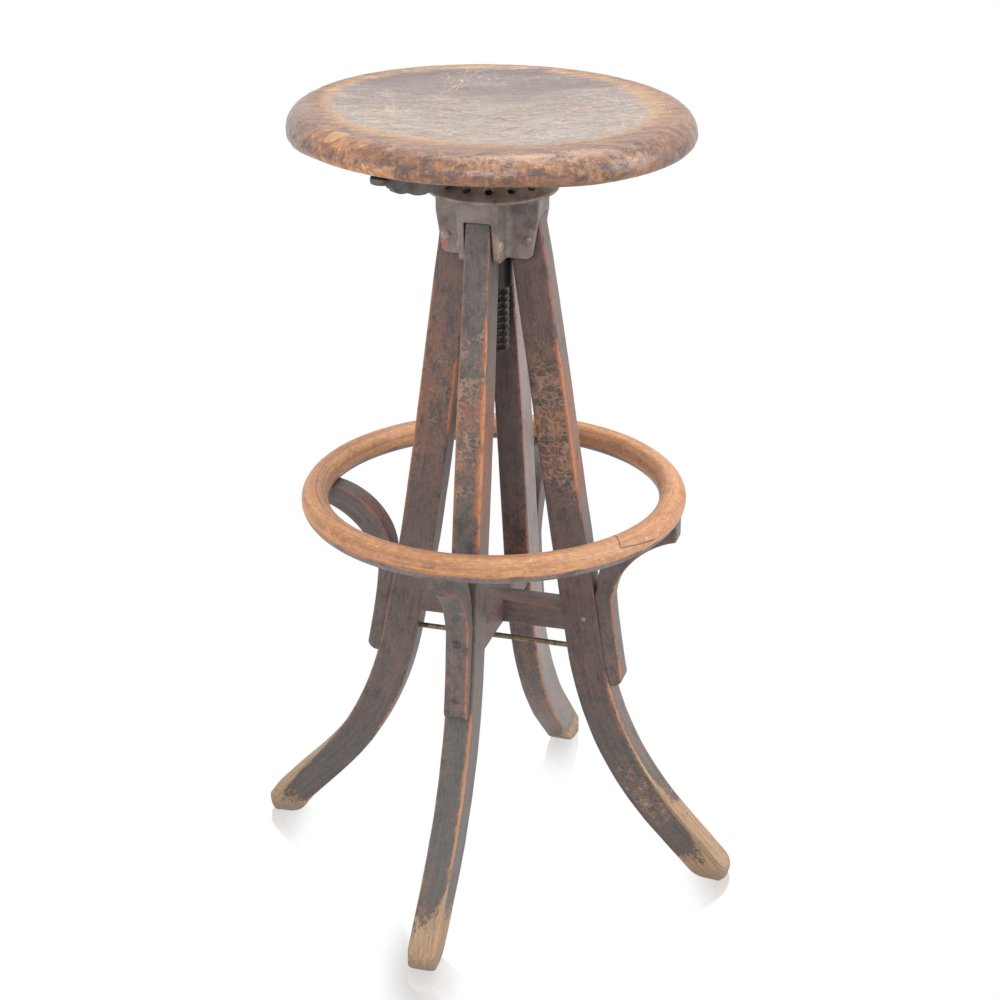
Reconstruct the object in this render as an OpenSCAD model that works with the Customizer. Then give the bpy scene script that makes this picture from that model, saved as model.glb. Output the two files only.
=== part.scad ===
// Swivel stool with a screw-adjusted round seat, four splayed legs and a foot ring.
// Millimetres, +Z up. The origin is on the floor at the centre; the legs lie on +-X and +-Y.

/* [Seat] */
// Diameter of the round seat board
seat_d = 351; // [330:1:370]
// Thickness of the seat board at its rim
seat_t = 27; // [26:1:34]
// Height of the flat underside of the seat above the floor
seat_base_z = 697; // [690:1:700]
// Depth of the dish in the top of the seat
dish_depth = 6; // [3:0.5:8]

/* [Screw] */
// Outside diameter of the lifting screw
screw_d = 28.6; // [26:0.2:30]
// Pitch of the lifting screw
screw_pitch = 6.35; // [5:0.05:8]
// Height of the lower end of the screw above the floor
screw_end_z = 506; // [490:1:530]
// Number of holes around the index plate
index_holes = 16; // [12:1:18]

/* [Hub] */
// Height of the top of the hub casting above the floor
hub_top_z = 654; // [654:0.5:654.5]
// Height of the hub casting
hub_h = 57; // [54:1:60]
// Reach of a hub box from the axis
hub_reach = 46.3; // [45:0.5:47]
// Width of a hub box
hub_w = 36; // [34:1:38]

/* [Legs] */
// Width of a leg, measured around the stool
leg_w = 25.5; // [23:0.5:26]
// Width of a leg at its top
leg_top_w = 22; // [20:0.5:23]
// Thickness of a leg where it starts to curve
leg_t = 33; // [30:0.5:34]
// Lean of the straight part of a leg from the vertical
leg_lean = 8.4; // [8:0.1:9]
// Lean of a leg at its foot
foot_lean = 43; // [40:0.5:45]
// Radius of the sweep along the inner face of a leg
sweep_r = 340; // [330:1:350]

/* [Foot ring] */
// Radius of the ring, axis to middle of the rod
ring_r = 162.3; // [160:0.1:164]
// Diameter of the ring rod
ring_d = 24.4; // [22:0.2:25]
// Height of the middle of the ring above the floor
ring_z = 367.3; // [365:0.1:369]
// Width of a ring bracket
bracket_w = 21; // [18:0.5:23]

/* [Braces] */
// Height of the underside of the stretchers above the floor
brace_z = 243; // [241:1:245]
// Height of a stretcher
brace_h = 24; // [22:1:25]
// Width of a stretcher
brace_w = 25; // [22:1:25.5]
// Diameter of the tie rod
rod_d = 5; // [4:0.5:6]
// Height of the tie rod above the floor
rod_z = 222; // [220:0.5:224]

/* [Latch] */
// Direction of the latch lever around the axis
latch_a = 238.2; // [230:0.1:245]
// Thickness of the latch lever
latch_w = 10; // [8:0.5:11]

/* [Hidden] */

$fn = 72;
eps = 0.01;
slip = 0.1;          // gap around a wooden joint
fit = 0.05;          // radial gap of a running fit
far = 400;           // longer than any cut needs to be

wood_dark = "#4a3a35";
wood_bare = "#c08f5e";
iron = "#66615c";
steel = "#7c776e";
brass_dull = "#7a6a4e";
fibre = "#5a4636";

// Seat board
seat_r = seat_d / 2;
rim_top_r = 19;                       // upper round of the rim
rim_low_r = seat_t - rim_top_r;       // lower round of the rim
rim_z = seat_base_z + rim_low_r;
seat_top_z = seat_base_z + seat_t;
dish_edge_r = seat_r - 26;
dish_r = (dish_edge_r * dish_edge_r + dish_depth * dish_depth) / (2 * dish_depth);
recess_r = 24;
recess_h = 17;
seat_screw_r = 150;

// Spindle and what it carries
screw_r = screw_d / 2;
thread_depth = 2.6;
thread_top_z = hub_top_z - 3;
journal_r = 11;
neck_r = 8;
boss_top_z = 675.7;
spider_low_z = 676;
spider_top_z = 697;
washer_t = 2;
nut_t = 9;
nut_flats = 26;
screw_tip_z = spider_top_z + 0.3 + washer_t + nut_t + 1.2;

// Index plate: a cone of 45 degrees with a lip, a flat top and a boss
plate_r = 57.5;
lip_z = 653.5;
lip_t = 2.5;
cone_h = 15;
plate_wall = 4;
plate_boss_r = 19;
stop_t = 2.5;
hole_pitch_r = 49.4;
index_hole_r = 3.5;
cone_top_z = lip_z + lip_t + cone_h;
cone_top_r = plate_r - cone_h;
cone_sum = plate_r + lip_z + lip_t;   // r + z on the outside of the cone

// Spider
arm_a0 = 341;
arm_reach = 160;
arm_tip_w = 20;
arm_root_w = 26;
arm_tip_t = 5.5;
arm_root_t = 8;
spider_hub_r = 22;
lug_t = 4.5;
lug_gap = latch_w / 2 + 0.4;
pivot_r = 31;
pivot_z = 681;
pivot_boss_r = 6;
lug_slot_z = 665;
lug_slot_h = 23.3;
pivot_pin_r = 2.5;

// Hub
hub_low_z = hub_top_z - hub_h;
core_r = 23.5;
bore_r = screw_r + 0.3;
channel_w = 24.4;
header_h = 20;
header_z = hub_top_z - header_h;
rivet_r = 3;
rivet_head_r = 5;
rivet_head_h = 2.6;
rivet_at = [36.5, 613];

// Leg outline in the plane of the leg: x is the distance from the axis, y the height
knee_z = 226;
knee_r = 72.4;
back_sweep_r = 318;                   // radius of the sweep along the outer face
leg_top_out = 43.4;
taper_z = 470;                        // a leg narrows above this height
notch_z = hub_low_z - 1;
notch_r = core_r + 0.7;
toe_r = 13;
nose_r = 231.5;                       // furthest reach of the foot

function outward(a, d) = [d * cos(a), d * sin(a)];
knee_in = [knee_r, knee_z];
knee_out = knee_in + outward(leg_lean, leg_t);
sweep_in_c = knee_in + outward(leg_lean, sweep_r);
sweep_out_c = knee_out + outward(leg_lean, back_sweep_r);
ankle_in = sweep_in_c - outward(foot_lean, sweep_r);
ankle_out = sweep_out_c - outward(foot_lean, back_sweep_r);
function inner_at(z) = knee_r - (z - knee_z) * tan(leg_lean);
function outer_at(z) = knee_out[0] - (z - knee_out[1])
    * (knee_out[0] - leg_top_out) / (header_z - knee_out[1]);
heel_r = ankle_in[0] + ankle_in[1] * tan(foot_lean);
toe_c = [nose_r - toe_r, ankle_out[1]
    - (toe_r + (nose_r - toe_r - ankle_out[0]) * cos(foot_lean)) / sin(foot_lean)];

// Bracket outline in the plane of its leg
bracket_low_z = 195;
bracket_tip_r = 171;
arm_join_z = 279;                     // the shank's arc meets the arm's arc here
arm_under_c = [190.9, 267.5];
arm_under_r = 78.3;
arm_over_c = [170.3, 289.9];
arm_over_r = 70.7;
shank_c = [618, 300];
shank_r = 505;
function shank_at(z) = shank_c[0] - sqrt(shank_r * shank_r - pow(z - shank_c[1], 2));
ring_screw_r = 160;
ring_screw_z = 343;
ring_screw_l = 22;
screw_zs = [268, 215.5];
side_screw_zs = [269, 207];
wood_screw_r = 2;
wood_head_r = 4.5;
wood_screw_l = 26;

// Braces
tenon_w = 12;
tenon_h = 18;
tenon_l = 24;
tenon_z = brace_z + (brace_h - tenon_h) / 2;
peg_r = 2.25;
peg_at = [88, 257];
lap_screw_l = 19;
rod_seat_depth = 9;                   // how deep the rod's nut sits in the leg
rod_seat_r = 6.6;
rod_washer_t = 1;
rod_nut_t = 4;
rod_nut_flats = 8;
rod_floor = outer_at(rod_z) - rod_seat_depth;

SIDES = [270, 0, 90, 180];            // directions of the front, right, back and left legs

// ---- helpers ----

// Stands an outline up: its x runs outward from the axis, its y upward; centred on t
module upright(t) {
    rotate([90, 0, 0])
        linear_extrude(t, center = true)
            children();
}

// A rod along the radius at height z
module radial(r, from, to, z) {
    translate([from, 0, z])
        rotate([0, 90, 0])
            cylinder(r = r, h = to - from);
}

// A rod across the radial plane, centred
module across(r, l, at) {
    translate([at[0], 0, at[1]])
        rotate([90, 0, 0])
            cylinder(r = r, h = l, center = true);
}

// A slotted wood screw pointing inward along the radius; its head is flush at x = 0
module wood_screw(l, r = wood_screw_r, head_r = wood_head_r) {
    head_h = head_r - r;
    difference() {
        union() {
            rotate([0, -90, 0])
                cylinder(r1 = head_r, r2 = r, h = head_h);
            rotate([0, -90, 0])
                cylinder(r = r, h = l);
        }
        translate([-0.5, -head_r, -0.5])
            cube([1, 2 * head_r, 1]);
    }
}

// ---- seat ----

module seat_outline() {
    difference() {
        union() {
            translate([0, seat_base_z])
                square([seat_r - rim_low_r, seat_t]);
            translate([0, rim_z])
                square([seat_r - rim_top_r, rim_top_r]);
            translate([seat_r - rim_low_r, rim_z])
                circle(rim_low_r);
            intersection() {
                translate([seat_r - rim_top_r, rim_z])
                    circle(rim_top_r);
                translate([0, rim_z])
                    square([seat_r, rim_top_r + 1]);
            }
        }
        translate([0, seat_top_z - dish_depth + dish_r])
            circle(dish_r, $fn = 360);
        translate([-far, seat_base_z - 1])
            square([far, seat_t + 2]);
    }
}

module seat_board() {
    color(wood_dark)
        difference() {
            rotate_extrude()
                seat_outline();
            translate([0, 0, seat_base_z - 1])
                cylinder(r = recess_r, h = recess_h + 1);
            for (i = [0:3])
                rotate(arm_a0 + 90 * i)
                    translate([seat_screw_r, 0, seat_base_z - 1])
                        cylinder(r = wood_screw_r, h = 15);
        }
}

module spider_arm() {
    difference() {
        intersection() {
            upright(arm_root_w)
                polygon([
                    [0, seat_base_z], [arm_reach, seat_base_z],
                    [arm_reach, seat_base_z - arm_tip_t],
                    [spider_hub_r, seat_base_z - arm_root_t], [0, seat_base_z - arm_root_t]
                ]);
            translate([0, 0, spider_low_z])
                linear_extrude(far)
                    union() {
                        polygon([
                            [0, -arm_root_w / 2], [arm_reach - arm_tip_w / 2, -arm_tip_w / 2],
                            [arm_reach - arm_tip_w / 2, arm_tip_w / 2], [0, arm_root_w / 2]
                        ]);
                        translate([arm_reach - arm_tip_w / 2, 0])
                            circle(arm_tip_w / 2);
                    }
        }
        translate([seat_screw_r, 0, spider_low_z])
            cylinder(r = wood_screw_r + slip, h = far);
        translate([seat_screw_r, 0, seat_base_z - arm_tip_t - 1])
            cylinder(r1 = wood_head_r + 1.2, r2 = wood_screw_r + slip, h = 3.7);
    }
}

module latch_lug() {
    difference() {
        upright(2 * (lug_gap + lug_t))
            union() {
                translate([pivot_r, pivot_z])
                    circle(pivot_boss_r);
                polygon([
                    [12, spider_low_z], [spider_hub_r, spider_low_z],
                    [pivot_r, pivot_z - pivot_boss_r],
                    [pivot_r + pivot_boss_r, pivot_z],
                    [pivot_r + pivot_boss_r, seat_base_z - 6], [12, seat_base_z - 6]
                ]);
            }
        across(pivot_pin_r, 60, [pivot_r, pivot_z]);
    }
}

module seat_spider() {
    color(iron)
        difference() {
            union() {
                translate([0, 0, spider_low_z])
                    cylinder(r = spider_hub_r, h = spider_top_z - spider_low_z);
                for (i = [0:3])
                    rotate(arm_a0 + 90 * i)
                        spider_arm();
                rotate(latch_a)
                    difference() {
                        latch_lug();
                        translate([0, 0, seat_base_z - 30])
                            cylinder(r = 12, h = 60);
                    }
            }
            translate([0, 0, spider_low_z - 1])
                cylinder(r = journal_r + fit, h = 40);
            rotate(latch_a)
                translate([spider_hub_r - 1.5, -lug_gap, lug_slot_z])
                    cube([40, 2 * lug_gap, lug_slot_h]);
        }
}

module seat_screws() {
    color(steel)
        for (i = [0:3])
            rotate(arm_a0 + 90 * i)
                translate([seat_screw_r, 0, seat_base_z - arm_tip_t])
                    rotate([0, 90, 0])
                        wood_screw(18);
}

// ---- latch ----

module latch_outline() {
    difference() {
        union() {
            translate([pivot_r, pivot_z])
                circle(pivot_boss_r);
            polygon([
                [pivot_r, pivot_z - pivot_boss_r + 0.4], [45, 675.4], [57.4, 663.2], [60.6, 661],
                [68.7, 662.4], [90.2, 667], [112, 671.5], [118.5, 678.5],
                [114, 684.7], [100, 681.5], [60, 676.6], [pivot_r, pivot_z + pivot_boss_r]
            ]);
            intersection() {
                union() {
                    translate([80.5, 692.4])
                        circle(29.6);
                    translate([100.2, 697.1])
                        circle(29.6);
                }
                polygon([[68.7, 662.4], [90.2, 667], [112, 671.5], [112, 656], [68.7, 656]]);
            }
            translate([112, 678.5])
                circle(6.6);
        }
        translate([pivot_r, pivot_z])
            circle(pivot_pin_r + fit);
    }
}

// The tooth points along the normal of the cone and stops just clear of it
module latch_lever() {
    tooth_l = 7;
    tooth_r = 2.4;
    clear = 0.6;
    tip = [hole_pitch_r + clear / 2, cone_sum - hole_pitch_r + clear / 2];
    color(iron)
        rotate(latch_a) {
            upright(latch_w)
                latch_outline();
            translate([tip[0], 0, tip[1]])
                rotate([0, 45, 0])
                    cylinder(r = tooth_r, h = tooth_l);
        }
}

module latch_pin() {
    color(steel)
        rotate(latch_a)
            union() {
                across(pivot_pin_r - 0.02, 2 * (lug_gap + lug_t) + 1, [pivot_r, pivot_z]);
                translate([pivot_r, lug_gap + lug_t + 0.5, pivot_z])
                    rotate([-90, 0, 0])
                        cylinder(r = 4, h = 1.6);
            }
}

// ---- screw, index plate and their fasteners ----

// The thread is drawn as rings at the pitch of the screw
function thread_ring(z) = [
    [screw_r - thread_depth, z], [screw_r, z + 0.22 * screw_pitch],
    [screw_r, z + 0.6 * screw_pitch], [screw_r - thread_depth, z + 0.82 * screw_pitch]
];

module spindle() {
    turns = floor((thread_top_z - screw_end_z) / screw_pitch);
    rings = [for (i = [0:turns - 1]) each thread_ring(screw_end_z + i * screw_pitch)];
    color(iron)
        difference() {
            rotate_extrude()
                polygon(concat(
                    [[0, screw_end_z]], rings,
                    [
                        [screw_r - thread_depth, thread_top_z], [screw_r, thread_top_z + 1],
                        [screw_r, boss_top_z], [journal_r, boss_top_z],
                        [journal_r, spider_top_z], [neck_r, spider_top_z],
                        [neck_r, screw_tip_z - 1], [neck_r - 1, screw_tip_z], [0, screw_tip_z]
                    ]));
            pin_hole(2.5);
        }
}

module pin_hole(r) {
    rotate(latch_a + 90)
        translate([0, 0, lip_z + 10.5])
            rotate([0, 90, 0])
                cylinder(r = r, h = 2 * far, center = true);
}

module index_plate() {
    top_in_z = cone_top_z - plate_wall;
    lip_in_r = plate_r - 5.5;
    color(iron)
        difference() {
            rotate_extrude()
                polygon([
                    [screw_r + 0.02, lip_z + 3], [plate_boss_r, lip_z + 3], [plate_boss_r, top_in_z],
                    [lip_in_r + lip_z - top_in_z, top_in_z], [lip_in_r, lip_z],
                    [plate_r, lip_z], [plate_r, lip_z + lip_t],
                    [cone_top_r, cone_top_z], [plate_boss_r, cone_top_z],
                    [plate_boss_r, boss_top_z], [screw_r + 0.02, boss_top_z]
                ]);
            for (i = [0:index_holes - 1])
                rotate(latch_a + 360 / index_holes * i)
                    translate([hole_pitch_r, 0, cone_sum - hole_pitch_r])
                        rotate([0, 45, 0])
                            translate([0, 0, -7])
                                cylinder(r = index_hole_r, h = 14);
            intersection() {
                pin_hole(2.5);
                translate([0, 0, lip_z])
                    cylinder(r = plate_boss_r + 3, h = cone_h);
            }
        }
}

module plate_pin() {
    color(steel)
        intersection() {
            pin_hole(2.48);
            translate([0, 0, lip_z])
                cylinder(r = plate_boss_r + 0.4, h = cone_h);
        }
}

module top_washer() {
    color(steel)
        translate([0, 0, spider_top_z + 0.3])
            difference() {
                cylinder(r = 17, h = washer_t);
                translate([0, 0, -1])
                    cylinder(r = neck_r + 0.1, h = washer_t + 2);
            }
}

module top_nut() {
    color(steel)
        translate([0, 0, spider_top_z + 0.3 + washer_t])
            difference() {
                cylinder(r = nut_flats / 2 / cos(30), h = nut_t, $fn = 6);
                translate([0, 0, -1])
                    cylinder(r = neck_r + 0.02, h = nut_t + 2);
            }
}

module stop_washer() {
    color(fibre)
        translate([0, 0, hub_top_z])
            difference() {
                cylinder(r = core_r - 1.5, h = stop_t);
                translate([0, 0, -1])
                    cylinder(r = screw_r + 0.4, h = stop_t + 2);
            }
}

// ---- hub ----

module hub_box() {
    low_r = 8;
    difference() {
        upright(hub_w)
            difference() {
                polygon([
                    [0, hub_top_z], [hub_reach, hub_top_z], [hub_reach - 0.3, header_z],
                    [hub_reach - 5, hub_low_z + low_r], [hub_reach - 6, hub_low_z], [0, hub_low_z]
                ]);
                difference() {
                    translate([hub_reach - 6 - low_r + 1.6, hub_low_z - 1])
                        square([low_r + 6, low_r + 1]);
                    translate([hub_reach - 6 - low_r + 1.6, hub_low_z + low_r])
                        circle(low_r);
                }
            }
        translate([core_r + 0.5, -channel_w / 2, hub_low_z - 1])
            cube([60, channel_w, header_z - hub_low_z + 1]);
        across(rivet_r + 0.02, 60, rivet_at);
    }
}

module hub_casting() {
    corner_r = 6;
    color(iron)
        difference() {
            union() {
                translate([0, 0, hub_low_z])
                    cylinder(r = core_r, h = hub_h);
                for (a = SIDES) {
                    rotate(a)
                        hub_box();
                    rotate(a)
                        translate([hub_w / 2 - 1, hub_w / 2 - 1, hub_low_z + 1.5])
                            linear_extrude(hub_h - 1.5)
                                difference() {
                                    square(corner_r + 1);
                                    translate([corner_r + 1, corner_r + 1])
                                        circle(corner_r);
                                }
                }
            }
            translate([0, 0, hub_low_z - 1])
                cylinder(r = bore_r, h = hub_h + 2);
        }
}

module leg_rivets() {
    color(steel)
        for (a = SIDES)
            rotate(a)
                translate([rivet_at[0], 0, rivet_at[1]])
                    union() {
                        across(rivet_r, hub_w, [0, 0]);
                        for (s = [0, 180])
                            rotate(s)
                                translate([0, hub_w / 2, 0])
                                    rivet_head();
                    }
}

module rivet_head() {
    dome_r = (rivet_head_r * rivet_head_r + rivet_head_h * rivet_head_h) / (2 * rivet_head_h);
    rotate([-90, 0, 0])
        rotate_extrude()
            intersection() {
                translate([0, rivet_head_h - dome_r])
                    circle(dome_r);
                square([rivet_head_r + 1, rivet_head_h + 1]);
            }
}

// ---- legs ----

// The full shape of a leg in its plane, width w across it: shaft, sweep, foot and round toe
module leg_blank(w) {
    lap = 6;                          // the stretches of the leg run this far into each other
    upright(w)
        polygon([
            knee_in, [inner_at(header_z), header_z], [leg_top_out, header_z], knee_out,
            (knee_in + knee_out) / 2 - [0, lap]
        ]);
    upright(w)
        intersection() {
            difference() {
                translate(sweep_in_c)
                    circle(sweep_r, $fn = 360);
                translate(sweep_out_c)
                    circle(back_sweep_r, $fn = 360);
            }
            polygon([
                2 * knee_in - knee_out, knee_out, sweep_out_c, ankle_out, 2 * ankle_in - ankle_out
            ]);
        }
    upright(w)
        polygon([
            ankle_in, (ankle_in + ankle_out) / 2 + [-lap, lap], ankle_out,
            toe_c + outward(foot_lean, toe_r), toe_c + [0, -toe_c[1]], [heel_r, 0]
        ]);
    across(toe_r, w, toe_c);
}

// Outline of a leg seen from outside: full width below, narrower at the top
module leg_face() {
    polygon([
        [-leg_w / 2, 0], [leg_w / 2, 0], [leg_w / 2, taper_z],
        [leg_top_w / 2, header_z], [-leg_top_w / 2, header_z], [-leg_w / 2, taper_z]
    ]);
}

module leg_body() {
    intersection() {
        leg_blank(leg_w + 2);
        rotate([90, 0, 90])
            linear_extrude(far)
                leg_face();
    }
}

// rod: true on the two legs that the tie rod runs through
module leg(a, rod = false) {
    color(wood_dark)
        rotate(a)
            difference() {
                leg_body();
                translate([-1, -leg_w, notch_z])
                    cube([notch_r + 1, 2 * leg_w, 60]);
                across(rivet_r + 0.02, 60, rivet_at);
                translate([inner_at(brace_z + brace_h) - 10, -tenon_w / 2 - slip, tenon_z - slip])
                    cube([inner_at(brace_z) + tenon_l - inner_at(brace_z + brace_h) + 10 + slip,
                        tenon_w + 2 * slip, tenon_h + 2 * slip]);
                across(peg_r + 0.02, 60, peg_at);
                for (z = rod ? side_screw_zs : screw_zs)
                    shank_hole(z);
                if (rod) {
                    radial(rod_d / 2 + slip, 0, 200, rod_z);
                    radial(rod_seat_r, rod_floor, 200, rod_z);
                }
            }
}

module leg_front() { leg(SIDES[0]); }
module leg_right() { leg(SIDES[1], true); }
module leg_back() { leg(SIDES[2]); }
module leg_left() { leg(SIDES[3], true); }

// ---- brackets and ring ----

// A shank along the leg carries an arm that swings out between two arcs to the ring
module bracket_blank() {
    upright(bracket_w)
        difference() {
            translate([90, bracket_low_z])
                square([45, arm_join_z - bracket_low_z]);
            translate(shank_c)
                circle(shank_r, $fn = 360);
            bracket_end_cut();
        }
    upright(bracket_w)
        polygon([[90, 268], [97.5, 280], [99.6, 291], [108, 291], [111, 280], [108, 268]]);
    upright(bracket_w)
        intersection() {
            difference() {
                translate(arm_over_c)
                    circle(arm_over_r, $fn = 180);
                translate(arm_under_c)
                    circle(arm_under_r, $fn = 180);
            }
            translate([90, arm_join_z])
                square([bracket_tip_r - 90, far]);
        }
}

// Rounds the lower outer corner of a bracket
module bracket_end_cut() {
    end_r = 8;
    corner = [shank_at(bracket_low_z + end_r) - end_r, bracket_low_z + end_r];
    difference() {
        translate(corner - [0, end_r + 1])
            square([end_r + 9, end_r + 1]);
        translate(corner)
            circle(end_r);
    }
}

// Puts its children on the outer face of a shank at height z, square to the face
module on_shank(z) {
    translate([shank_at(z), 0, z])
        rotate([0, -asin((shank_c[1] - z) / shank_r), 0])
            children();
}

module shank_hole(z) {
    on_shank(z)
        radial(wood_screw_r, -wood_screw_l - 0.3, 10, 0);
}

module bracket(a, zs) {
    color(wood_dark)
        rotate(a)
            difference() {
                bracket_blank();
                leg_blank(bracket_w + 2);
                for (z = zs) {
                    shank_hole(z);
                    on_shank(z)
                        rotate([0, -90, 0])
                            cylinder(r1 = wood_head_r, r2 = wood_screw_r, h = wood_head_r - wood_screw_r);
                }
                translate([ring_screw_r, 0, 300])
                    cylinder(r = wood_screw_r, h = 100);
                translate([ring_screw_r, 0, 300])
                    cylinder(r = wood_head_r, h = ring_screw_z - 300);
                translate([ring_screw_r, 0, ring_screw_z])
                    cylinder(r1 = wood_head_r, r2 = wood_screw_r, h = wood_head_r - wood_screw_r);
                rotate_extrude($fn = 180)
                    translate([ring_r, ring_z])
                        circle(ring_d / 2);
            }
}

module bracket_front() { bracket(SIDES[0], screw_zs); }
module bracket_right() { bracket(SIDES[1], side_screw_zs); }
module bracket_back() { bracket(SIDES[2], screw_zs); }
module bracket_left() { bracket(SIDES[3], side_screw_zs); }

// A glued rod bent to a full circle
module foot_ring() {
    color(wood_bare)
        difference() {
            rotate_extrude($fn = 180)
                translate([ring_r, ring_z])
                    circle(ring_d / 2);
            for (a = SIDES)
                rotate(a)
                    translate([ring_screw_r, 0, ring_screw_z])
                        cylinder(r = wood_screw_r, h = ring_screw_l + 0.3);
        }
}

module ring_screws() {
    color(steel)
        for (a = SIDES)
            rotate(a)
                translate([ring_screw_r, 0, ring_screw_z])
                    rotate([0, 90, 0])
                        wood_screw(ring_screw_l);
}

module bracket_screws() {
    color(steel)
        for (i = [0:3])
            rotate(SIDES[i])
                for (z = i % 2 == 1 ? side_screw_zs : screw_zs)
                    on_shank(z)
                        rotate([35 * i + z, 0, 0])
                            wood_screw(wood_screw_l);
}

// ---- braces ----

// Two stretchers cross in a half lap; top: true on the one that keeps its upper half
module stretcher(a, top) {
    half = brace_h / 2;
    reach = [inner_at(brace_z), inner_at(brace_z + brace_h)];
    cut_z = top ? brace_z - 1 : brace_z + half;
    color(wood_dark)
        rotate(a)
            difference() {
                union() {
                    upright(brace_w)
                        polygon([
                            [-reach[0], brace_z], [reach[0], brace_z],
                            [reach[1], brace_z + brace_h], [-reach[1], brace_z + brace_h]
                        ]);
                    translate([-reach[0] - tenon_l, -tenon_w / 2, tenon_z])
                        cube([2 * (reach[0] + tenon_l), tenon_w, tenon_h]);
                }
                translate([-brace_w / 2 - slip, -brace_w, cut_z])
                    cube([brace_w + 2 * slip, 2 * brace_w, half + 1]);
                translate([0, 0, brace_z - 1])
                    cylinder(r = wood_screw_r, h = lap_screw_l + 1.3);
                translate([0, 0, brace_z])
                    cylinder(r1 = wood_head_r, r2 = wood_screw_r, h = wood_head_r - wood_screw_r);
                for (s = [-1, 1])
                    across(peg_r + 0.02, 60, [s * peg_at[0], peg_at[1]]);
            }
}

module stretcher_side() { stretcher(SIDES[1], true); }
module stretcher_fore() { stretcher(SIDES[2], false); }

module tenon_pegs() {
    color(wood_bare)
        for (a = SIDES)
            rotate(a)
                across(peg_r, leg_w, peg_at);
}

module lap_screw() {
    color(steel)
        translate([0, 0, brace_z])
            rotate([0, 90, 0])
                wood_screw(lap_screw_l);
}

module tie_rod() {
    end = rod_floor + rod_washer_t + rod_nut_t + 1.5;
    color(brass_dull)
        radial(rod_d / 2, -end, end, rod_z);
}

module rod_washers() {
    color(steel)
        for (a = [SIDES[1], SIDES[3]])
            rotate(a)
                difference() {
                    radial(6, rod_floor, rod_floor + rod_washer_t, rod_z);
                    radial(rod_d / 2 + 0.1, 0, 200, rod_z);
                }
}

module rod_nuts() {
    from = rod_floor + rod_washer_t;
    color(steel)
        for (a = [SIDES[1], SIDES[3]])
            rotate(a)
                difference() {
                    translate([from, 0, rod_z])
                        rotate([0, 90, 0])
                            cylinder(r = rod_nut_flats / 2 / cos(30), h = rod_nut_t, $fn = 6);
                    radial(rod_d / 2 + 0.02, 0, 200, rod_z);
                }
}

seat_board();
seat_spider();
seat_screws();
latch_lever();
latch_pin();
spindle();
index_plate();
plate_pin();
top_washer();
top_nut();
stop_washer();
hub_casting();
leg_rivets();
leg_front();
leg_right();
leg_back();
leg_left();
bracket_front();
bracket_right();
bracket_back();
bracket_left();
bracket_screws();
foot_ring();
ring_screws();
stretcher_side();
stretcher_fore();
tenon_pegs();
lap_screw();
tie_rod();
rod_nuts();
rod_washers();
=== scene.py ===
"""Looks of the adjustable swivel stool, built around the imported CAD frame. +Z is up, the front leg on -Y.
Meshes are worked out in mm, and new_mesh makes them metres. Shaders, lights and the camera are in metres."""

import bmesh
import bpy
import math
import numpy as np
from mathutils import Matrix, Vector, noise
from types import SimpleNamespace


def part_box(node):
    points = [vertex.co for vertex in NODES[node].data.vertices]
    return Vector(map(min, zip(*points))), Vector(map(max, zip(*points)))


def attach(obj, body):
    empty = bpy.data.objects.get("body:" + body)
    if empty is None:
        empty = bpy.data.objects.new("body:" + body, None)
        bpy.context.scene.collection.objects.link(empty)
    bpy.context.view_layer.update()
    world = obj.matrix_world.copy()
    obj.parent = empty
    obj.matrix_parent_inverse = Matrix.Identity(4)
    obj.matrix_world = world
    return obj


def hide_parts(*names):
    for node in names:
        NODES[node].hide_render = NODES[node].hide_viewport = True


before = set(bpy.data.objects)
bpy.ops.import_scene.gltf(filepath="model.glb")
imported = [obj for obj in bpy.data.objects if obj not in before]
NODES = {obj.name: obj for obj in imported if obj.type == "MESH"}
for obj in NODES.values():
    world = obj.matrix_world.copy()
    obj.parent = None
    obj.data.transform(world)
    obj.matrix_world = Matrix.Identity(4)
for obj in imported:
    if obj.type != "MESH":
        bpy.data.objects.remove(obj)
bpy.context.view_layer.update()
scene = bpy.context.scene
MM = 0.001
SIDES = {"front": -math.pi / 2, "right": 0.0, "back": math.pi / 2, "left": math.pi}
REACH = 231.5


# ---------------------------------------------------------------- colours, points and meshes

def srgb(r, g, b):
    """A display colour, 0 to 255, as the linear colour that a shader takes."""
    out = []
    for c in (r, g, b):
        c = c / 255.0
        out.append(c / 12.92 if c <= 0.04045 else ((c + 0.055) / 1.055) ** 2.4)
    return (*out, 1.0)


def toned(colour, k):
    """A colour made lighter or darker."""
    return [v * k for v in colour]


def smooth(a, b, x):
    """0 below a, 1 above b, smooth between; works on arrays, and falls where a is above b."""
    t = np.clip((np.asarray(x, float) - a) / (b - a), 0.0, 1.0)
    return t * t * (3 - 2 * t)


def wave_noise(p, seed, octaves):
    """Smooth noise, about -1 to 1, at each point of an N by 3 array."""
    out = np.zeros(len(p))
    shift = Vector((seed * 17.3, seed * 5.7, seed * 11.1))
    for i, v in enumerate(p):
        out[i] = noise.fractal(Vector(v) + shift, 0.9, 2.0, octaves)
    return np.clip(out, -1.5, 1.5)


def wander(*at):
    """One smooth noise value, about -1 to 1."""
    return noise.noise(Vector(at))


def flat_dir(a):
    """The unit vector at that angle in a plane."""
    return np.array([math.cos(a), math.sin(a)])


def axes(bearing):
    """Unit vectors outward at that bearing and across it."""
    d = np.array([math.cos(bearing), math.sin(bearing), 0.0])
    return d, np.array([-d[1], d[0], 0.0])


def place(d, out, up):
    """The point at that distance along d, at that height."""
    return d * out + np.array([0, 0, up])


def turns(m):
    """The angles of m points round a circle."""
    return np.arange(m) * 2 * math.pi / m


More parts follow.
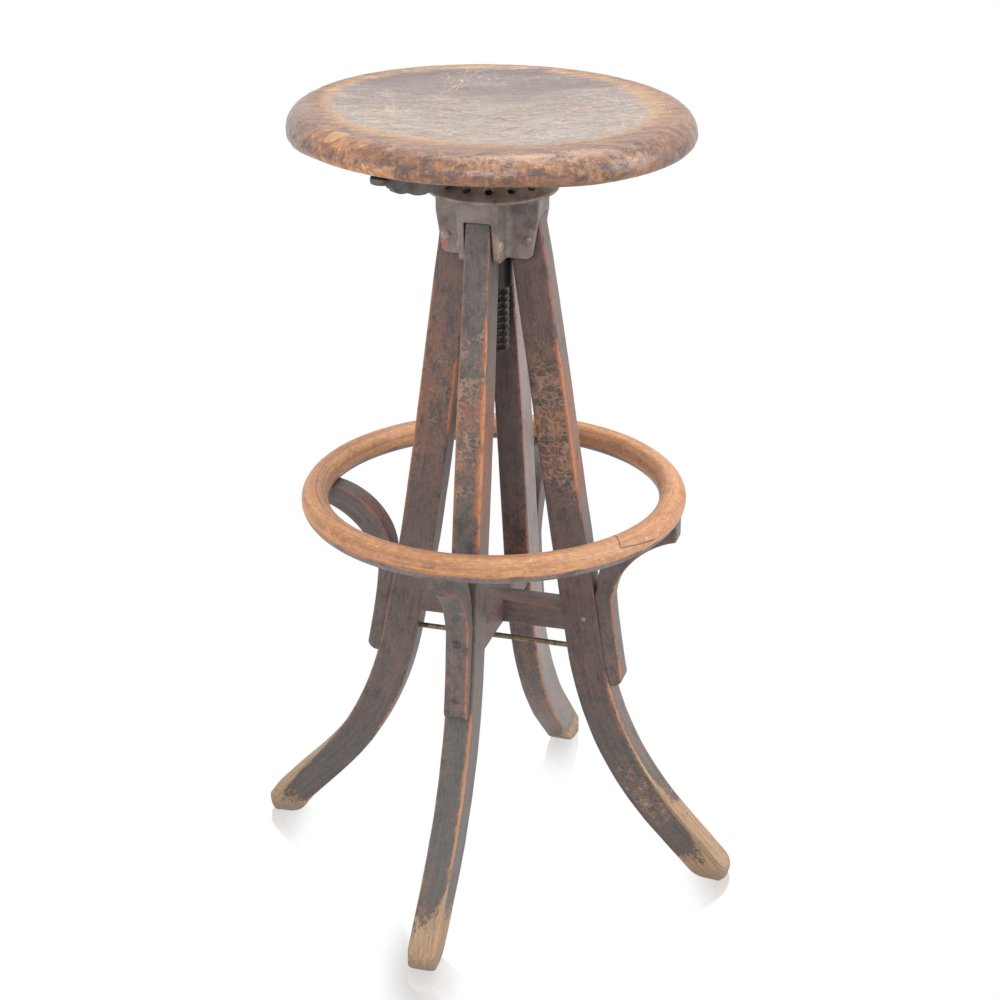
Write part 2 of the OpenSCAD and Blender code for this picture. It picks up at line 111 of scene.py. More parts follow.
def tube_faces(rows, cols, close_rows=False):
    """Quads of a grid of rows by cols points whose columns close on themselves."""
    out = []
    for i in range(rows if close_rows else rows - 1):
        a = i * cols
        b = ((i + 1) % rows) * cols
        for j in range(cols):
            k = (j + 1) % cols
            out.append((a + j, a + k, b + k, b + j))
    return out


def capped_faces(rows, cols):
    """tube_faces, with a fan over each end round two middle points that follow the grid's points."""
    out = tube_faces(rows, cols)
    middle, last = rows * cols, (rows - 1) * cols
    for j in range(cols):
        k = (j + 1) % cols
        out += [(middle, k, j), (middle + 1, last + j, last + k)]
    return out


def moved_on(faces, base):
    """Faces for a copy whose points start at number base."""
    return [tuple(base + q for q in f) for f in faces]


def add_object(name, data):
    ob = bpy.data.objects.new(name, data)
    scene.collection.objects.link(ob)
    return ob


def new_mesh(name, verts, faces, attrs=None, closed=True):
    """A mesh object from points in mm; attrs holds float or vector values for each vertex. The faces of a
    closed one are turned to the outside."""
    me = bpy.data.meshes.new(name)
    me.from_pydata([tuple(v) for v in np.asarray(verts, float) * MM], [], faces)
    me.update()
    for key, val in (attrs or {}).items():
        val = np.asarray(val, np.float32)
        vector = val.ndim == 2
        at = me.attributes.new(key, "FLOAT_VECTOR" if vector else "FLOAT", "POINT")
        at.data.foreach_set("vector" if vector else "value", val.ravel())
    me.shade_smooth()
    if closed:
        bm = bmesh.new()
        bm.from_mesh(me)
        bmesh.ops.recalc_face_normals(bm, faces=bm.faces)
        bm.to_mesh(me)
        bm.free()
    return add_object(name, me)


def paint(ob, mat):
    ob.data.materials.clear()
    ob.data.materials.append(mat)


def put(ob, body, mat, slot, *nodes):
    """Gives a new piece its body and material, and hides the CAD nodes it stands for. slot is not used."""
    paint(ob, mat)
    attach(ob, body)
    if nodes:
        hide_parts(*nodes)


# ---------------------------------------------------------------- shader building

class Shader:
    """Short names for the nodes of one material."""

    def __init__(self, name):
        self.mat = bpy.data.materials.new(name)
        self.mat.use_nodes = True
        self.tree = self.mat.node_tree
        self.tree.nodes.clear()
        self.out = self.node("OutputMaterial")

    def node(self, kind, inputs=None, **settings):
        """Adds a node. inputs gives a value or another node's output by each socket's number or name."""
        n = self.tree.nodes.new("ShaderNode" + kind)
        for key, value in settings.items():
            setattr(n, key, value)
        for key, value in (inputs or {}).items():
            if isinstance(value, bpy.types.NodeSocket):
                self.tree.links.new(value, n.inputs[key])
            elif value is not None:
                n.inputs[key].default_value = value
        return n

    def surface(self, output):
        self.tree.links.new(output, self.out.inputs["Surface"])
        return self.mat

    def attrs(self, *names):
        return [self.node("Attribute", attribute_name=name).outputs["Fac"] for name in names]

    def grain_coords(self):
        """Metres along, across and through a piece, as its mesh gives them."""
        return self.node("Attribute", attribute_name="gp").outputs["Vector"]

    def coords(self):
        return self.node("TexCoord").outputs["Object"]

    def split(self, v):
        return tuple(self.node("SeparateXYZ", {0: v}).outputs)

    def math(self, op, a, b=None, c=None, clamp=False):
        return self.node("Math", {0: a, 1: b, 2: c}, operation=op, use_clamp=clamp).outputs[0]

    def times(self, a, b):
        return self.math("MULTIPLY", a, b)

    def most(self, a, b):
        """The larger one; a may be None."""
        return b if a is None else self.math("MAXIMUM", a, b)

    def apart(self, a, b):
        return self.math("ABSOLUTE", self.math("SUBTRACT", a, b))

    def total(self, *terms, shift=0.0):
        """Weighted sum of (weight, value) pairs plus a constant."""
        out = shift
        for weight, value in terms:
            out = self.math("MULTIPLY_ADD", value, weight, out)
        return out

    def vec(self, op, a, b=None):
        n = self.node("VectorMath", {0: a, 1: b}, operation=op)
        return n.outputs[1 if op in ("LENGTH", "DOT_PRODUCT") else 0]

    def scaled(self, v, x, y, z, shift=(0, 0, 0)):
        return self.node("Mapping", {0: v, "Location": shift, "Scale": (x, y, z)}).outputs[0]

    def turned(self, v, angle):
        return self.node("Mapping", {0: v, "Rotation": (0, 0, angle)}).outputs[0]

    def noise(self, v, scale=1.0, detail=4.0, rough=0.55, distort=0.0):
        values = {"Vector": v, "Scale": scale, "Detail": detail, "Roughness": rough, "Distortion": distort}
        return self.node("TexNoise", values).outputs["Fac"]

    def grain(self, v, x, y, z, detail=4.0, rough=0.55, shift=(0, 0, 0), distort=0.0):
        """Noise with a scale of its own along each axis."""
        return self.noise(self.scaled(v, x, y, z, shift), 1.0, detail, rough, distort)

    def cracks(self, v, x, y, z):
        """Distance from the lines of a net, with a scale along each axis."""
        values = {"Vector": self.scaled(v, x, y, z), "Scale": 1.0, "Randomness": 1.0}
        return self.node("TexVoronoi", values, feature="DISTANCE_TO_EDGE").outputs["Distance"]

    def warped(self, v, scale, amount):
        """A vector pushed about by noise of that scale, by up to about half the amount."""
        n = self.node("TexNoise", {"Vector": v, "Scale": scale, "Detail": 3.0})
        off = self.vec("SUBTRACT", n.outputs["Color"], (0.5, 0.5, 0.5))
        push = self.node("VectorMath", {0: off, "Scale": amount * 2}, operation="SCALE")
        return self.vec("ADD", v, push.outputs[0])

    def segment(self, v, start, end, width):
        """A line on the plane of X and Y between two points in mm, with its half width in mm."""
        a = Vector(start) * MM
        d = Vector(end) * MM - a
        rel = self.vec("MULTIPLY", self.vec("SUBTRACT", v, (a.x, a.y, 0.0)), (1.0, 1.0, 0.0))
        t = self.math("DIVIDE", self.vec("DOT_PRODUCT", rel, (d.x, d.y, 0.0)), d.length_squared, clamp=True)
        foot = self.node("CombineXYZ", {0: self.times(t, d.x), 1: self.times(t, d.y), 2: 0.0}).outputs[0]
        away = self.vec("LENGTH", self.vec("SUBTRACT", rel, foot))
        return self.step(away, width * MM, width * MM * 0.35)

    def remap(self, x, a, b, c, d, kind="LINEAR"):
        """x carried from the range a to b over to the range c to d."""
        values = {"Value": x, "From Min": a, "From Max": b, "To Min": c, "To Max": d}
        return self.node("MapRange", values, interpolation_type=kind, clamp=True).outputs["Result"]

    def step(self, x, lo, hi):
        """0 below lo, 1 above hi, smooth between; falls where lo is above hi."""
        ends = (0.0, 1.0) if hi > lo else (1.0, 0.0)
        return self.remap(x, min(lo, hi), max(lo, hi), *ends, kind="SMOOTHSTEP")

    def mix(self, f, a, b, how="MIX"):
        return self.node("Mix", {0: f, 6: a, 7: b}, data_type="RGBA", blend_type=how).outputs[2]

    def blend(self, f, a, b):
        return self.node("Mix", {0: f, 2: a, 3: b}, data_type="FLOAT").outputs[0]

    def tones(self, x, lo, hi, first, second):
        """One colour that gives way to another while x goes from lo to hi."""
        return self.mix(self.step(x, lo, hi), srgb(*first), srgb(*second))

    def lay(self, base, amount, share, colour):
        """Lays a colour over base by that amount times share."""
        if share != 1:
            amount = self.times(amount, share)
        return self.mix(amount, base, srgb(*colour))

    def over(self, base, x, lo, hi, share, colour):
        """Lays a colour over base while x goes from lo to hi, by that share at most."""
        return self.lay(base, self.step(x, lo, hi), share, colour)

    def layers(self, base, *rows):
        """Lays colours over base one after the other, each row as over() takes it."""
        for row in rows:
            base = self.over(base, *row)
        return base

    def finish(self, color, rough, height, strength, distance, metal=0.0, spec=0.5):
        """The surface of a material: its bumps are given by their height, strength and distance."""
        bump = self.node("Bump", {"Strength": strength, "Distance": distance, "Height": height})
        values = {"Base Color": color, "Roughness": rough, "Metallic": metal, "Specular IOR Level": spec,
                  "Normal": bump.outputs[0]}
        return self.surface(self.node("BsdfPrincipled", values).outputs[0])


# ---------------------------------------------------------------- painted wood

def painted_noises(s, gp):
    """The noises in painted wood, from grit to broad clouds, and the height above the floor."""
    return SimpleNamespace(
        fine=s.grain(gp, 20, 700, 700, 5, 0.62),
        streak=s.grain(gp, 6, 170, 170, 4, 0.6),
        broad=s.grain(gp, 11, 34, 34, 3),
        blot=s.grain(gp, 55, 90, 90, 6, 0.66),
        rag=s.grain(gp, 240, 420, 420, 4, 0.62),
        grit=s.grain(gp, 700, 1100, 1100, 3, 0.6),
        cloud=s.grain(gp, 62, 80, 80, 2, shift=(3, 9, 4)),
        height=s.split(s.coords())[2])


def foot_wood(s, n):
    """Bare wood of the feet: greyish tan with fine grain, dirt in it, greyest at the floor."""
    tan = s.tones(s.total((0.6, n.fine), (0.4, n.streak)), 0.40, 0.62, (160, 130, 100), (122, 97, 74))
    return s.layers(
        tan,
        (n.broad, 0.42, 0.7, 0.5, (136, 122, 106)),
        (n.blot, 0.50, 0.66, 0.5, (120, 98, 80)),
        (n.rag, 0.56, 0.70, 0.5, (92, 76, 64)),
        (n.height, 0.016, 0.002, 0.55, (96, 86, 76)))


def clouded(s, n, c):
    """One colour of paint, lighter and darker in streaks and blots."""
    base = s.tones(n.streak, 0.3, 0.75, toned(c, 1.05), toned(c, 0.90))
    base = s.over(base, n.broad, 0.38, 0.7, 1, (c[0] * 1.06, c[1] * 0.95, c[2] * 0.93))
    return s.over(base, n.blot, 0.52, 0.70, 0.6, toned(c, 0.80))


def paint_coat(s, n, gp, tone, outer, side, low_share):
    """Paint in two tones, cloudy, darker near the floor by low_share, with fine dust and pinholes."""
    coat = s.mix(s.total((1, tone), (0.6, n.broad), shift=-0.3), clouded(s, n, side), clouded(s, n, outer))
    low = s.times(s.step(n.height, 0.22, 0.07), low_share)
    coat = s.mix(low, coat, s.tones(n.blot, 0.4, 0.6, (78, 76, 73), (66, 60, 57)))
    mottle = s.total((0.5, n.grit), (1.0, n.rag), (1.0, n.fine), (1.9, n.blot), (1.0, n.streak), shift=-1.72)
    coat = s.mix(1.0, coat, s.most(mottle, 0.45), "MULTIPLY")
    coat = s.over(coat, n.grit, 0.58, 0.72, 0.12, toned(outer, 1.5))
    coat = s.over(coat, n.rag, 0.60, 0.70, 0.55, (50, 41, 39))
    speck = s.grain(gp, 380, 560, 560, 2, shift=(7, 3, 1))
    fleck = s.times(s.step(speck, 0.66, 0.73), s.step(n.blot, 0.40, 0.56))
    return s.lay(coat, fleck, 0.7, (150, 106, 86))


def rubbed_stain(s, n, rub):
    """Stained wood where the paint is rubbed through, palest where most of it is gone."""
    stain = s.tones(n.streak, 0.35, 0.7, (176, 116, 78), (142, 92, 66))
    return s.layers(
        stain,
        (n.fine, 0.46, 0.7, 0.7, (186, 136, 100)),
        (n.blot, 0.50, 0.66, 0.6, (126, 82, 62)),
        (n.rag, 0.52, 0.66, 0.7, (98, 70, 58)),
        (rub, 0.80, 0.46, 1, (134, 88, 68)),
        (n.height, 0.24, 0.12, 0.6, (160, 124, 94)))


SCRATCH_RUNS = [
    # scale and strength of the wander, scale along each axis, shift, weight
    (70, 0.005, (100, 46, 46), (0, 0, 0), 1.0),
    (60, 0.005, (50, 92, 92), (4, 1, 7), 0.9),
    (80, 0.004, (130, 60, 60), (8, 5, 2), 0.75),
]


def paint_scratches(s, n, gp, crack, busy, claws):
    """Thin broken wandering lines, closer together and crossing where the paint has crackled."""
    width = s.most(s.times(busy, 0.062 if claws else 0.044), 0.0005)
    lines = None
    for scale, push, along, shift, keep in SCRATCH_RUNS:
        level = s.grain(s.warped(gp, scale, push), *along, 1.4, 0.5, shift)
        away = s.math("DIVIDE", s.apart(level, 0.5), width)
        lines = s.most(lines, s.times(s.step(away, 1.0, 0.45), keep))
    lines = s.times(lines, s.step(busy, 0.20, 0.60))
    lines = s.times(lines, s.remap(n.rag, 0.62, 0.44, 0.35, 1.0))
    hair = s.step(s.cracks(s.warped(gp, 60, 0.010), 330, 150, 150), 0.05, 0.015)
    hair = s.times(hair, s.step(s.total((1, crack), (1.6, n.blot)), 1.02, 1.3))
    return s.most(s.times(lines, 0.85 if claws else 0.75), s.times(hair, 0.25))


def painted_wood(name, outer, side, seed, claws=False, low_share=0.75):
    """Old dark paint on wood. The mesh says where it is worn (wear), bare (bare) and scratched (crack), and
    where the neutral outer paint gives way to the browner side paint (tone). claws makes scratches bolder."""
    s = Shader(name)
    gp = s.vec("ADD", s.grain_coords(), (seed, seed * 0.37, seed * 0.71))
    wear, bare, crack, tone = s.attrs("wear", "bare", "crack", "tone")
    n = painted_noises(s, gp)
    rub = s.total((1, wear), (1.5, n.blot), (1.3, n.rag), (0.6, n.streak), shift=-1.72)
    busy = s.total((1, crack), (1.5, n.cloud), (0.7, n.rag), (0.6, n.blot), shift=-1.55)
    gone_by = s.total((1, bare), (1.2, n.blot), (0.6, n.streak), (1.1, n.rag), shift=-1.45)
    worn = s.step(rub, 0.36, 0.56)
    gone = s.step(gone_by, 0.38, 0.66)
    scratch = paint_scratches(s, n, gp, crack, busy, claws)

    color = paint_coat(s, n, gp, tone, outer, side, low_share)
    color = s.over(color, rub, 0.08, 0.42, 0.50, (122, 84, 72))
    dusk = s.tones(n.blot, 0.42, 0.58, (62, 56, 52), (104, 78, 64))
    color = s.mix(s.times(s.step(busy, 0.15, 0.75), 0.5), color, dusk)
    color = s.mix(scratch, color, s.tones(n.cloud, 0.4, 0.6, (176, 122, 90), (160, 128, 108)))
    color = s.mix(s.times(worn, 0.92), color, rubbed_stain(s, n, rub))
    color = s.over(color, gone_by, 0.12, 0.40, 0.65, (80, 60, 50))
    color = s.mix(gone, color, foot_wood(s, n))

    bareness = s.most(s.most(worn, gone), scratch)
    rough = s.blend(bareness, s.remap(n.blot, 0.3, 0.7, 0.38, 0.54), 0.68)
    height = s.total((-0.6, bareness), (0.3, n.fine), (0.3, n.grit), (0.3, n.rag))
    return s.finish(color, rough, height, 0.6, 0.0006)


# ---------------------------------------------------------------- bare wood of the foot ring

def scarf_seam(s, blot, deg, tube):
    """The glue line of the scarf joint. It crosses the top from inside to outside, then runs out along the
    outer side."""
    top_run = s.math("ABSOLUTE", s.total((1, deg), (-0.0275, tube), (2.2, blot), shift=34.0))
    on_top = s.times(s.step(tube, 28, 34), s.step(tube, 172, 165))
    side_run = s.math("ABSOLUTE", s.total((1, tube), (2.1, deg), (6.0, blot), shift=36.0))
    on_side = s.times(s.step(deg, -34.5, -33.5), s.step(deg, -19, -20))
    return s.most(s.times(s.step(top_run, 0.26, 0.10), on_top), s.times(s.step(side_run, 3.6, 1.2), on_side))


def ring_wood(name):
    """Bare bent wood, grain along the ring, with what is left of the paint on its underside."""
    s = Shader(name)
    gp = s.grain_coords()
    low, dirt, deg, tube = s.attrs("bare", "wear", "deg", "tube")
    fine = s.grain(gp, 14, 800, 800, 5, 0.62)
    streak = s.grain(gp, 4.2, 210, 210, 5, 0.62, distort=0.15)
    broad = s.grain(gp, 6, 30, 30, 3)
    blot = s.grain(gp, 48, 70, 70, 6, 0.64)
    rag = s.grain(gp, 200, 340, 340, 4, 0.6)
    grit = s.grain(gp, 420, 620, 620, 4)
    speck = s.grain(gp, 110, 300, 300, 5, 0.68, (2, 6, 1))
    wood = s.layers(
        s.tones(streak, 0.34, 0.68, (189, 138, 96), (152, 103, 69)),
        (fine, 0.48, 0.7, 0.75, (130, 86, 57)),
        (broad, 0.45, 0.72, 0.6, (170, 128, 98)),
        (blot, 0.52, 0.75, 0.34, (108, 76, 56)),
        (rag, 0.6, 0.74, 0.4, (206, 164, 126)))
    mottle = s.total((1.0, speck), (0.8, rag), (0.9, blot), (0.5, fine), shift=-0.64)
    wood = s.mix(1.0, wood, s.most(mottle, 0.5), "MULTIPLY")
    wood = s.over(wood, speck, 0.57, 0.66, 0.6, (118, 86, 62))
    grime = s.total((1, dirt), (1.1, blot), (0.4, rag), shift=-0.75)
    wood = s.over(wood, grime, 0.3, 0.8, 0.7, (104, 80, 66))

    grey = s.tones(grit, 0.4, 0.7, (98, 90, 87), (128, 117, 112))
    grey = s.over(grey, blot, 0.48, 0.68, 1, (84, 68, 64))
    under = s.total((1, low), (0.75, blot), (0.45, streak), (0.25, rag), shift=-0.725)
    painted = s.step(under, 0.47, 0.52)
    rim = s.times(s.step(under, 0.33, 0.46), s.math("SUBTRACT", 1.0, painted))
    color = s.lay(wood, rim, 0.65, (158, 88, 62))
    color = s.mix(painted, color, grey)
    seam = scarf_seam(s, blot, deg, tube)
    color = s.lay(color, seam, 0.85, (62, 42, 34))
    height = s.total((0.5, fine), (0.3, streak), (0.6, painted), (0.3, rag), (-1.2, seam))
    return s.finish(color, s.blend(painted, 0.46, 0.5), height, 0.5, 0.0005, spec=0.45)


# ---------------------------------------------------------------- wood of the seat

SCRATCHES = [
    # from, to (mm on the seat), half width
    ((-118, 28), (-89, 14), 0.7), ((-111, 41), (-71, -32), 0.6), ((-91, -27), (-58, -39), 0.6),
    ((-61, 44), (-50, 126), 0.8), ((-52, 58), (-62, 135), 0.6), ((-87, 95), (-36, 142), 0.8),
    ((-96, 52), (-52, 30), 0.6), ((20, 20), (46, 4), 0.5), ((-30, -74), (-6, -92), 0.5),
    ((-104, 8), (-70, 20), 0.5), ((-44, 84), (-20, 70), 0.6), ((-74, 110), (-66, 72), 0.5),
]
SPLIT_AND_NICKS = [
    ((-66, 8), (30, -24), 0.55), ((22, -64), (34, -44), 0.7), ((44, -66), (50, -46), 0.8),
    ((-34, -92), (-20, -96), 0.8), ((-8, -84), (8, -90), 0.6),
]
BRUISE_AT, BRUISE_TURN, BRUISE_SIZE = (-0.093, -0.1236, 0.721), -0.35, (0.0125, 0.0085, 0.03)
SEAT_GRAIN = -0.36


def seat_noises(s, co):
    """The noises in the seat, drawn out along its grain."""
    return SimpleNamespace(
        fine=s.grain(co, 26, 640, 240, 6, 0.66),
        streak=s.grain(co, 30, 190, 130, 5, 0.64),
        broad=s.grain(co, 9, 26, 26, 3),
        blot=s.grain(co, 30, 104, 92, 6, 0.70),
        tick=s.grain(co, 150, 560, 300, 4, 0.65, (2, 8, 3)),
        clump=s.grain(co, 95, 130, 130, 5, 0.62),
        rag=s.grain(co, 260, 420, 330, 4, 0.62),
        cross=s.grain(co, 420, 60, 110, 4, 0.6),
        warm=s.grain(co, 42, 90, 90, 4, 0.6, (5, 2, 8)),
        upright=s.grain(co, 190, 190, 46, 4, 0.6, (1, 4, 2)),
        grain=s.grain(co, 60, 420, 190, 4, 0.62, (6, 2, 4)))


def hollow_wood(s, n, rear_shade):
    """Grey along the grain, partly bleached wood and partly a painted sheen, warm where the varnish is thin,
    with painted shade on the far side.
    """
    # the grey is partly bleached wood and partly a painted sheen of the light behind the seat
    hollow = s.tones(s.total((0.5, n.streak), (0.5, n.warm)), 0.40, 0.60, (140, 133, 128), (120, 108, 99))
    hollow = s.layers(
        hollow,
        (n.fine, 0.47, 0.66, 0.62, (98, 86, 79)),
        (n.blot, 0.46, 0.64, 0.55, (148, 124, 104)),
        (n.cross, 0.52, 0.68, 0.4, (166, 148, 132)),
        (n.warm, 0.60, 0.70, 0.55, (156, 112, 84)),
        (n.tick, 0.54, 0.66, 0.7, (84, 71, 66)),
        (n.tick, 0.46, 0.34, 0.4, (172, 160, 150)))
    # painted shade: the far side of the hollow darkened to a purple-brown
    return s.mix(s.times(rear_shade, s.remap(n.broad, 0.3, 0.7, 0.4, 1.0)), hollow, srgb(88, 76, 77))


def gold_band(s, n):
    """Golden wood beside the hollow."""
    return s.layers(
        s.tones(n.streak, 0.36, 0.66, (176, 140, 104), (136, 104, 78)),
        (n.grain, 0.46, 0.62, 0.7, (108, 82, 64)),
        (n.rag, 0.54, 0.7, 0.45, (198, 162, 120)),
        (n.warm, 0.54, 0.42, 0.4, (150, 126, 104)))


def brown_band(s, n):
    """Browner wood towards the rim."""
    return s.layers(
        s.tones(n.blot, 0.38, 0.64, (142, 104, 76), (102, 76, 64)),
        (n.grain, 0.46, 0.62, 0.75, (80, 58, 48)),
        (n.rag, 0.55, 0.7, 0.45, (180, 138, 96)))


def rim_wood(s, n, co):
    """Dark mottled rim, greyed at the far left by a painted reflection of the white surroundings, with a
    darker belt round its upper side.
    """
    belt = s.math("ABSOLUTE", s.total((1, s.split(s.coords())[2]), (0.016, n.streak), shift=-0.7185))
    rim = s.layers(
        s.tones(n.blot, 0.36, 0.64, (126, 92, 70), (84, 62, 54)),
        (n.clump, 0.52, 0.66, 1, (138, 96, 70)),
        (n.streak, 0.5, 0.68, 0.4, (104, 88, 84)),
        (n.rag, 0.56, 0.68, 0.6, (60, 48, 46)),
        # painted reflection: the rim greyed at the far left, where the white surroundings show in it
        (s.split(co)[0], -0.13, -0.18, 0.55, (124, 110, 106)))
    shown = s.times(s.step(belt, 0.0042, 0.0014), s.remap(n.warm, 0.40, 0.56, 0.75, 0.1))
    return s.mix(shown, rim, srgb(78, 66, 70))


def chipped_varnish(s, n, color, chipped):
    """Chips in the varnish of the rim: brown first, then orange and golden wood."""
    ground = s.tones(n.warm, 0.42, 0.6, (150, 98, 72), (156, 116, 82))
    color = s.mix(s.times(s.step(chipped, 0.20, 0.42), 0.7), color, ground)
    bright = s.tones(n.clump, 0.40, 0.62, (198, 150, 98), (180, 114, 76))
    bright = s.over(bright, n.grain, 0.44, 0.60, 0.6, (132, 90, 62))
    chips = s.step(chipped, 0.46, 0.58)
    return s.mix(s.times(chips, 0.8), color, bright), chips


def drawn_marks(s, wavy, marks, widen):
    """Lines from a list of start, end and half width, which is multiplied by widen."""
    out = None
    for start, end, width in marks:
        out = s.most(out, s.segment(wavy, start, end, width * widen))
    return out


def bruised(s, n, color):
    """An old bruise in the band at the front left."""
    spot = s.vec("SUBTRACT", s.warped(s.coords(), 80, 0.004), BRUISE_AT)
    reach = s.vec("LENGTH", s.scaled(s.turned(spot, BRUISE_TURN), *[1 / size for size in BRUISE_SIZE]))
    edge = s.times(s.step(s.apart(reach, 1.0), 0.24, 0.08), s.remap(n.rag, 0.35, 0.6, 0.3, 1.0))
    color = s.over(color, reach, 1.05, 0.8, 0.5, (176, 134, 90))
    return s.lay(color, edge, 0.6, (80, 56, 44)), edge


def seat_wood(name):
    """Old varnished seat: grey hollow, partly worn wood and partly a painted sheen, golden to brown band
    round it, dark rim with orange chips.
    The mesh says where the hollow is, the band (tan), the chips (chip) and the painted shade on the far side
    (wear)."""
    s = Shader(name)
    co = s.turned(s.coords(), SEAT_GRAIN)
    hollow, tan, chip, rear_shade = s.attrs("hollow", "tan", "chip", "wear")
    n = seat_noises(s, co)

    level = s.total((1, tan), (1.2, n.blot), (1.3, n.streak), (0.7, n.grain), (0.4, n.rag), (0.8, n.warm),
                    shift=-2.2)
    color = s.mix(s.step(level, 0.16, 0.46), rim_wood(s, n, co), brown_band(s, n))
    color = s.mix(s.step(level, 0.48, 0.86), color, gold_band(s, n))
    spread = s.total((1, hollow), (0.9, n.blot), (1.5, n.streak), (0.8, n.grain), (0.4, n.fine), shift=-1.80)
    in_hollow = s.step(spread, 0.25, 0.75)
    color = s.mix(in_hollow, color, hollow_wood(s, n, rear_shade))
    chipped = s.total((1, chip), (1.1, n.upright), (0.8, n.rag), (0.9, n.warm), shift=-1.4)
    color, chips = chipped_varnish(s, n, color, chipped)

    # crackled varnish outside the hollow, and scuffs all over it, light and dark
    crazed = s.times(s.step(s.cracks(s.warped(co, 60, 0.012), 60, 120, 100), 0.07, 0.02),
                     s.step(n.blot, 0.46, 0.6))
    crazed = s.times(crazed, s.math("SUBTRACT", 1.0, in_hollow))
    color = s.lay(color, crazed, 0.28, (66, 50, 44))
    scuff = s.times(s.step(s.cracks(s.warped(s.coords(), 38, 0.02), 52, 70, 60), 0.040, 0.012),
                    s.step(s.total((1, n.clump), (0.6, n.rag)), 0.78, 0.88))
    scuff = s.times(scuff, s.step(in_hollow, 0.1, 0.7))
    color = s.mix(s.times(scuff, 0.55), color, s.tones(n.broad, 0.45, 0.55, (196, 164, 138), (74, 62, 58)))

    wavy = s.warped(s.coords(), 55, 0.006)
    light = s.times(drawn_marks(s, wavy, SCRATCHES, 1.25), s.remap(n.rag, 0.42, 0.6, 0.0, 0.7))
    color = s.lay(color, light, 1, (186, 154, 130))
    deep = s.times(drawn_marks(s, wavy, SPLIT_AND_NICKS, 1), s.remap(n.clump, 0.3, 0.55, 0.3, 0.9))
    color = s.lay(color, deep, 1, (58, 46, 42))
    color, edge = bruised(s, n, color)

    height = s.total((0.45, n.fine), (0.4, n.streak), (0.3, n.rag), (-0.8, crazed), (-1.2, deep),
                     (-0.4, light), (-0.5, chips), (-0.7, edge), (-0.3, scuff))
    worn_top = s.step(s.total((1, tan), (1, hollow)), 0.2, 0.7)
    gloss = s.remap(n.clump, 0.35, 0.65, 0.20, 0.38)
    rough = s.blend(worn_top, gloss, s.remap(n.blot, 0.3, 0.7, 0.40, 0.52))
    return s.finish(color, rough, height, 0.55, 0.0008)


# ---------------------------------------------------------------- metals

def old_iron(name, base, dark, rust, rusty, stains=()):
    """Sand-cast or forged iron under old paint and grime. stains holds the centre and radius in mm, and the
    colour, of rusty patches."""
    s = Shader(name)
    co = s.coords()
    blot = s.noise(co, 75, 6, 0.66)
    sand = s.noise(co, 800, 4, 0.6)
    broad = s.noise(co, 30, 3)
    rag = s.noise(co, 330, 4, 0.62)
    old = s.total((1, s.noise(co, 48, 6, 0.7)), (0.3, rag), shift=-0.15)
    color = s.layers(
        s.tones(blot, 0.36, 0.68, base, dark),
        (broad, 0.48, 0.70, 0.5, toned(base, 1.16)),
        (old, 0.56, 0.68, rusty * 2, rust),
        (sand, 0.55, 0.72, 0.35, toned(base, 1.3)),
        (rag, 0.58, 0.72, 0.4, toned(dark, 0.72)))
    for centre, radius, tint in stains:
        reach = s.vec("LENGTH", s.vec("SUBTRACT", co, tuple(v * MM for v in centre)))
        near = s.total((1 / (radius * MM), reach), (2.4, rag), (1.6, blot), shift=-2.0)
        color = s.over(color, near, 1.3, 0.5, 0.75, tint)
    height = s.total((0.5, sand), (1, blot), (0.4, rag))
    return s.finish(color, s.remap(blot, 0.3, 0.7, 0.40, 0.58), height, 0.5, 0.0006, metal=0.3)


def plain_metal(name, base, rough, metal, shade_above=None):
    """Turned or drawn metal. Above a height given in mm it is painted black, as painted shade where the screw
    stands in shadow under the hub.
    """
    s = Shader(name)
    co = s.coords()
    blot = s.noise(co, 180, 5, 0.62)
    fine = s.noise(co, 1400, 3)
    color = s.tones(blot, 0.35, 0.7, base, toned(base, 0.62))
    if shade_above:
        # painted shade: black from that height up, where the screw stands in the hub's shadow
        painted_shade = s.total((1 / MM, s.split(co)[2]), (9.0, blot))
        color = s.over(color, painted_shade, shade_above - 2, shade_above + 12, 0.9, (14, 12, 12))
    height = s.total((0.5, fine), (1, blot))
    return s.finish(color, s.remap(blot, 0.3, 0.7, rough - 0.08, rough + 0.12), height, 0.3, 0.0002, metal)


# ---------------------------------------------------------------- bars with a rounded rectangular section

SIDE_NORMALS = np.array([(0, 1), (1, 0), (0, -1), (-1, 0)], float)


def section(n_w, n_t, n_c):
    """The run of points round a rounded rectangle, as three arrays: the side (0 outer, 1 positive, 2 inner,
    3 negative), how far along it each point is, and its direction from the centre of its corner."""
    side, f, turn = [], [], []
    for k, count in enumerate((n_w, n_t, n_w, n_t)):
        side += [k] * (count + n_c)
        f += [i / count for i in range(count + 1)] + [1.0] * (n_c - 1)
        turn += [0.0] * (count + 1) + [i / n_c * math.pi / 2 for i in range(1, n_c)]
    side, turn = np.array(side), np.array(turn)[:, None]
    away = SIDE_NORMALS[side] * np.cos(turn) + SIDE_NORMALS[(side + 1) % 4] * np.sin(turn)
    return side, np.array(f)[:, None], away


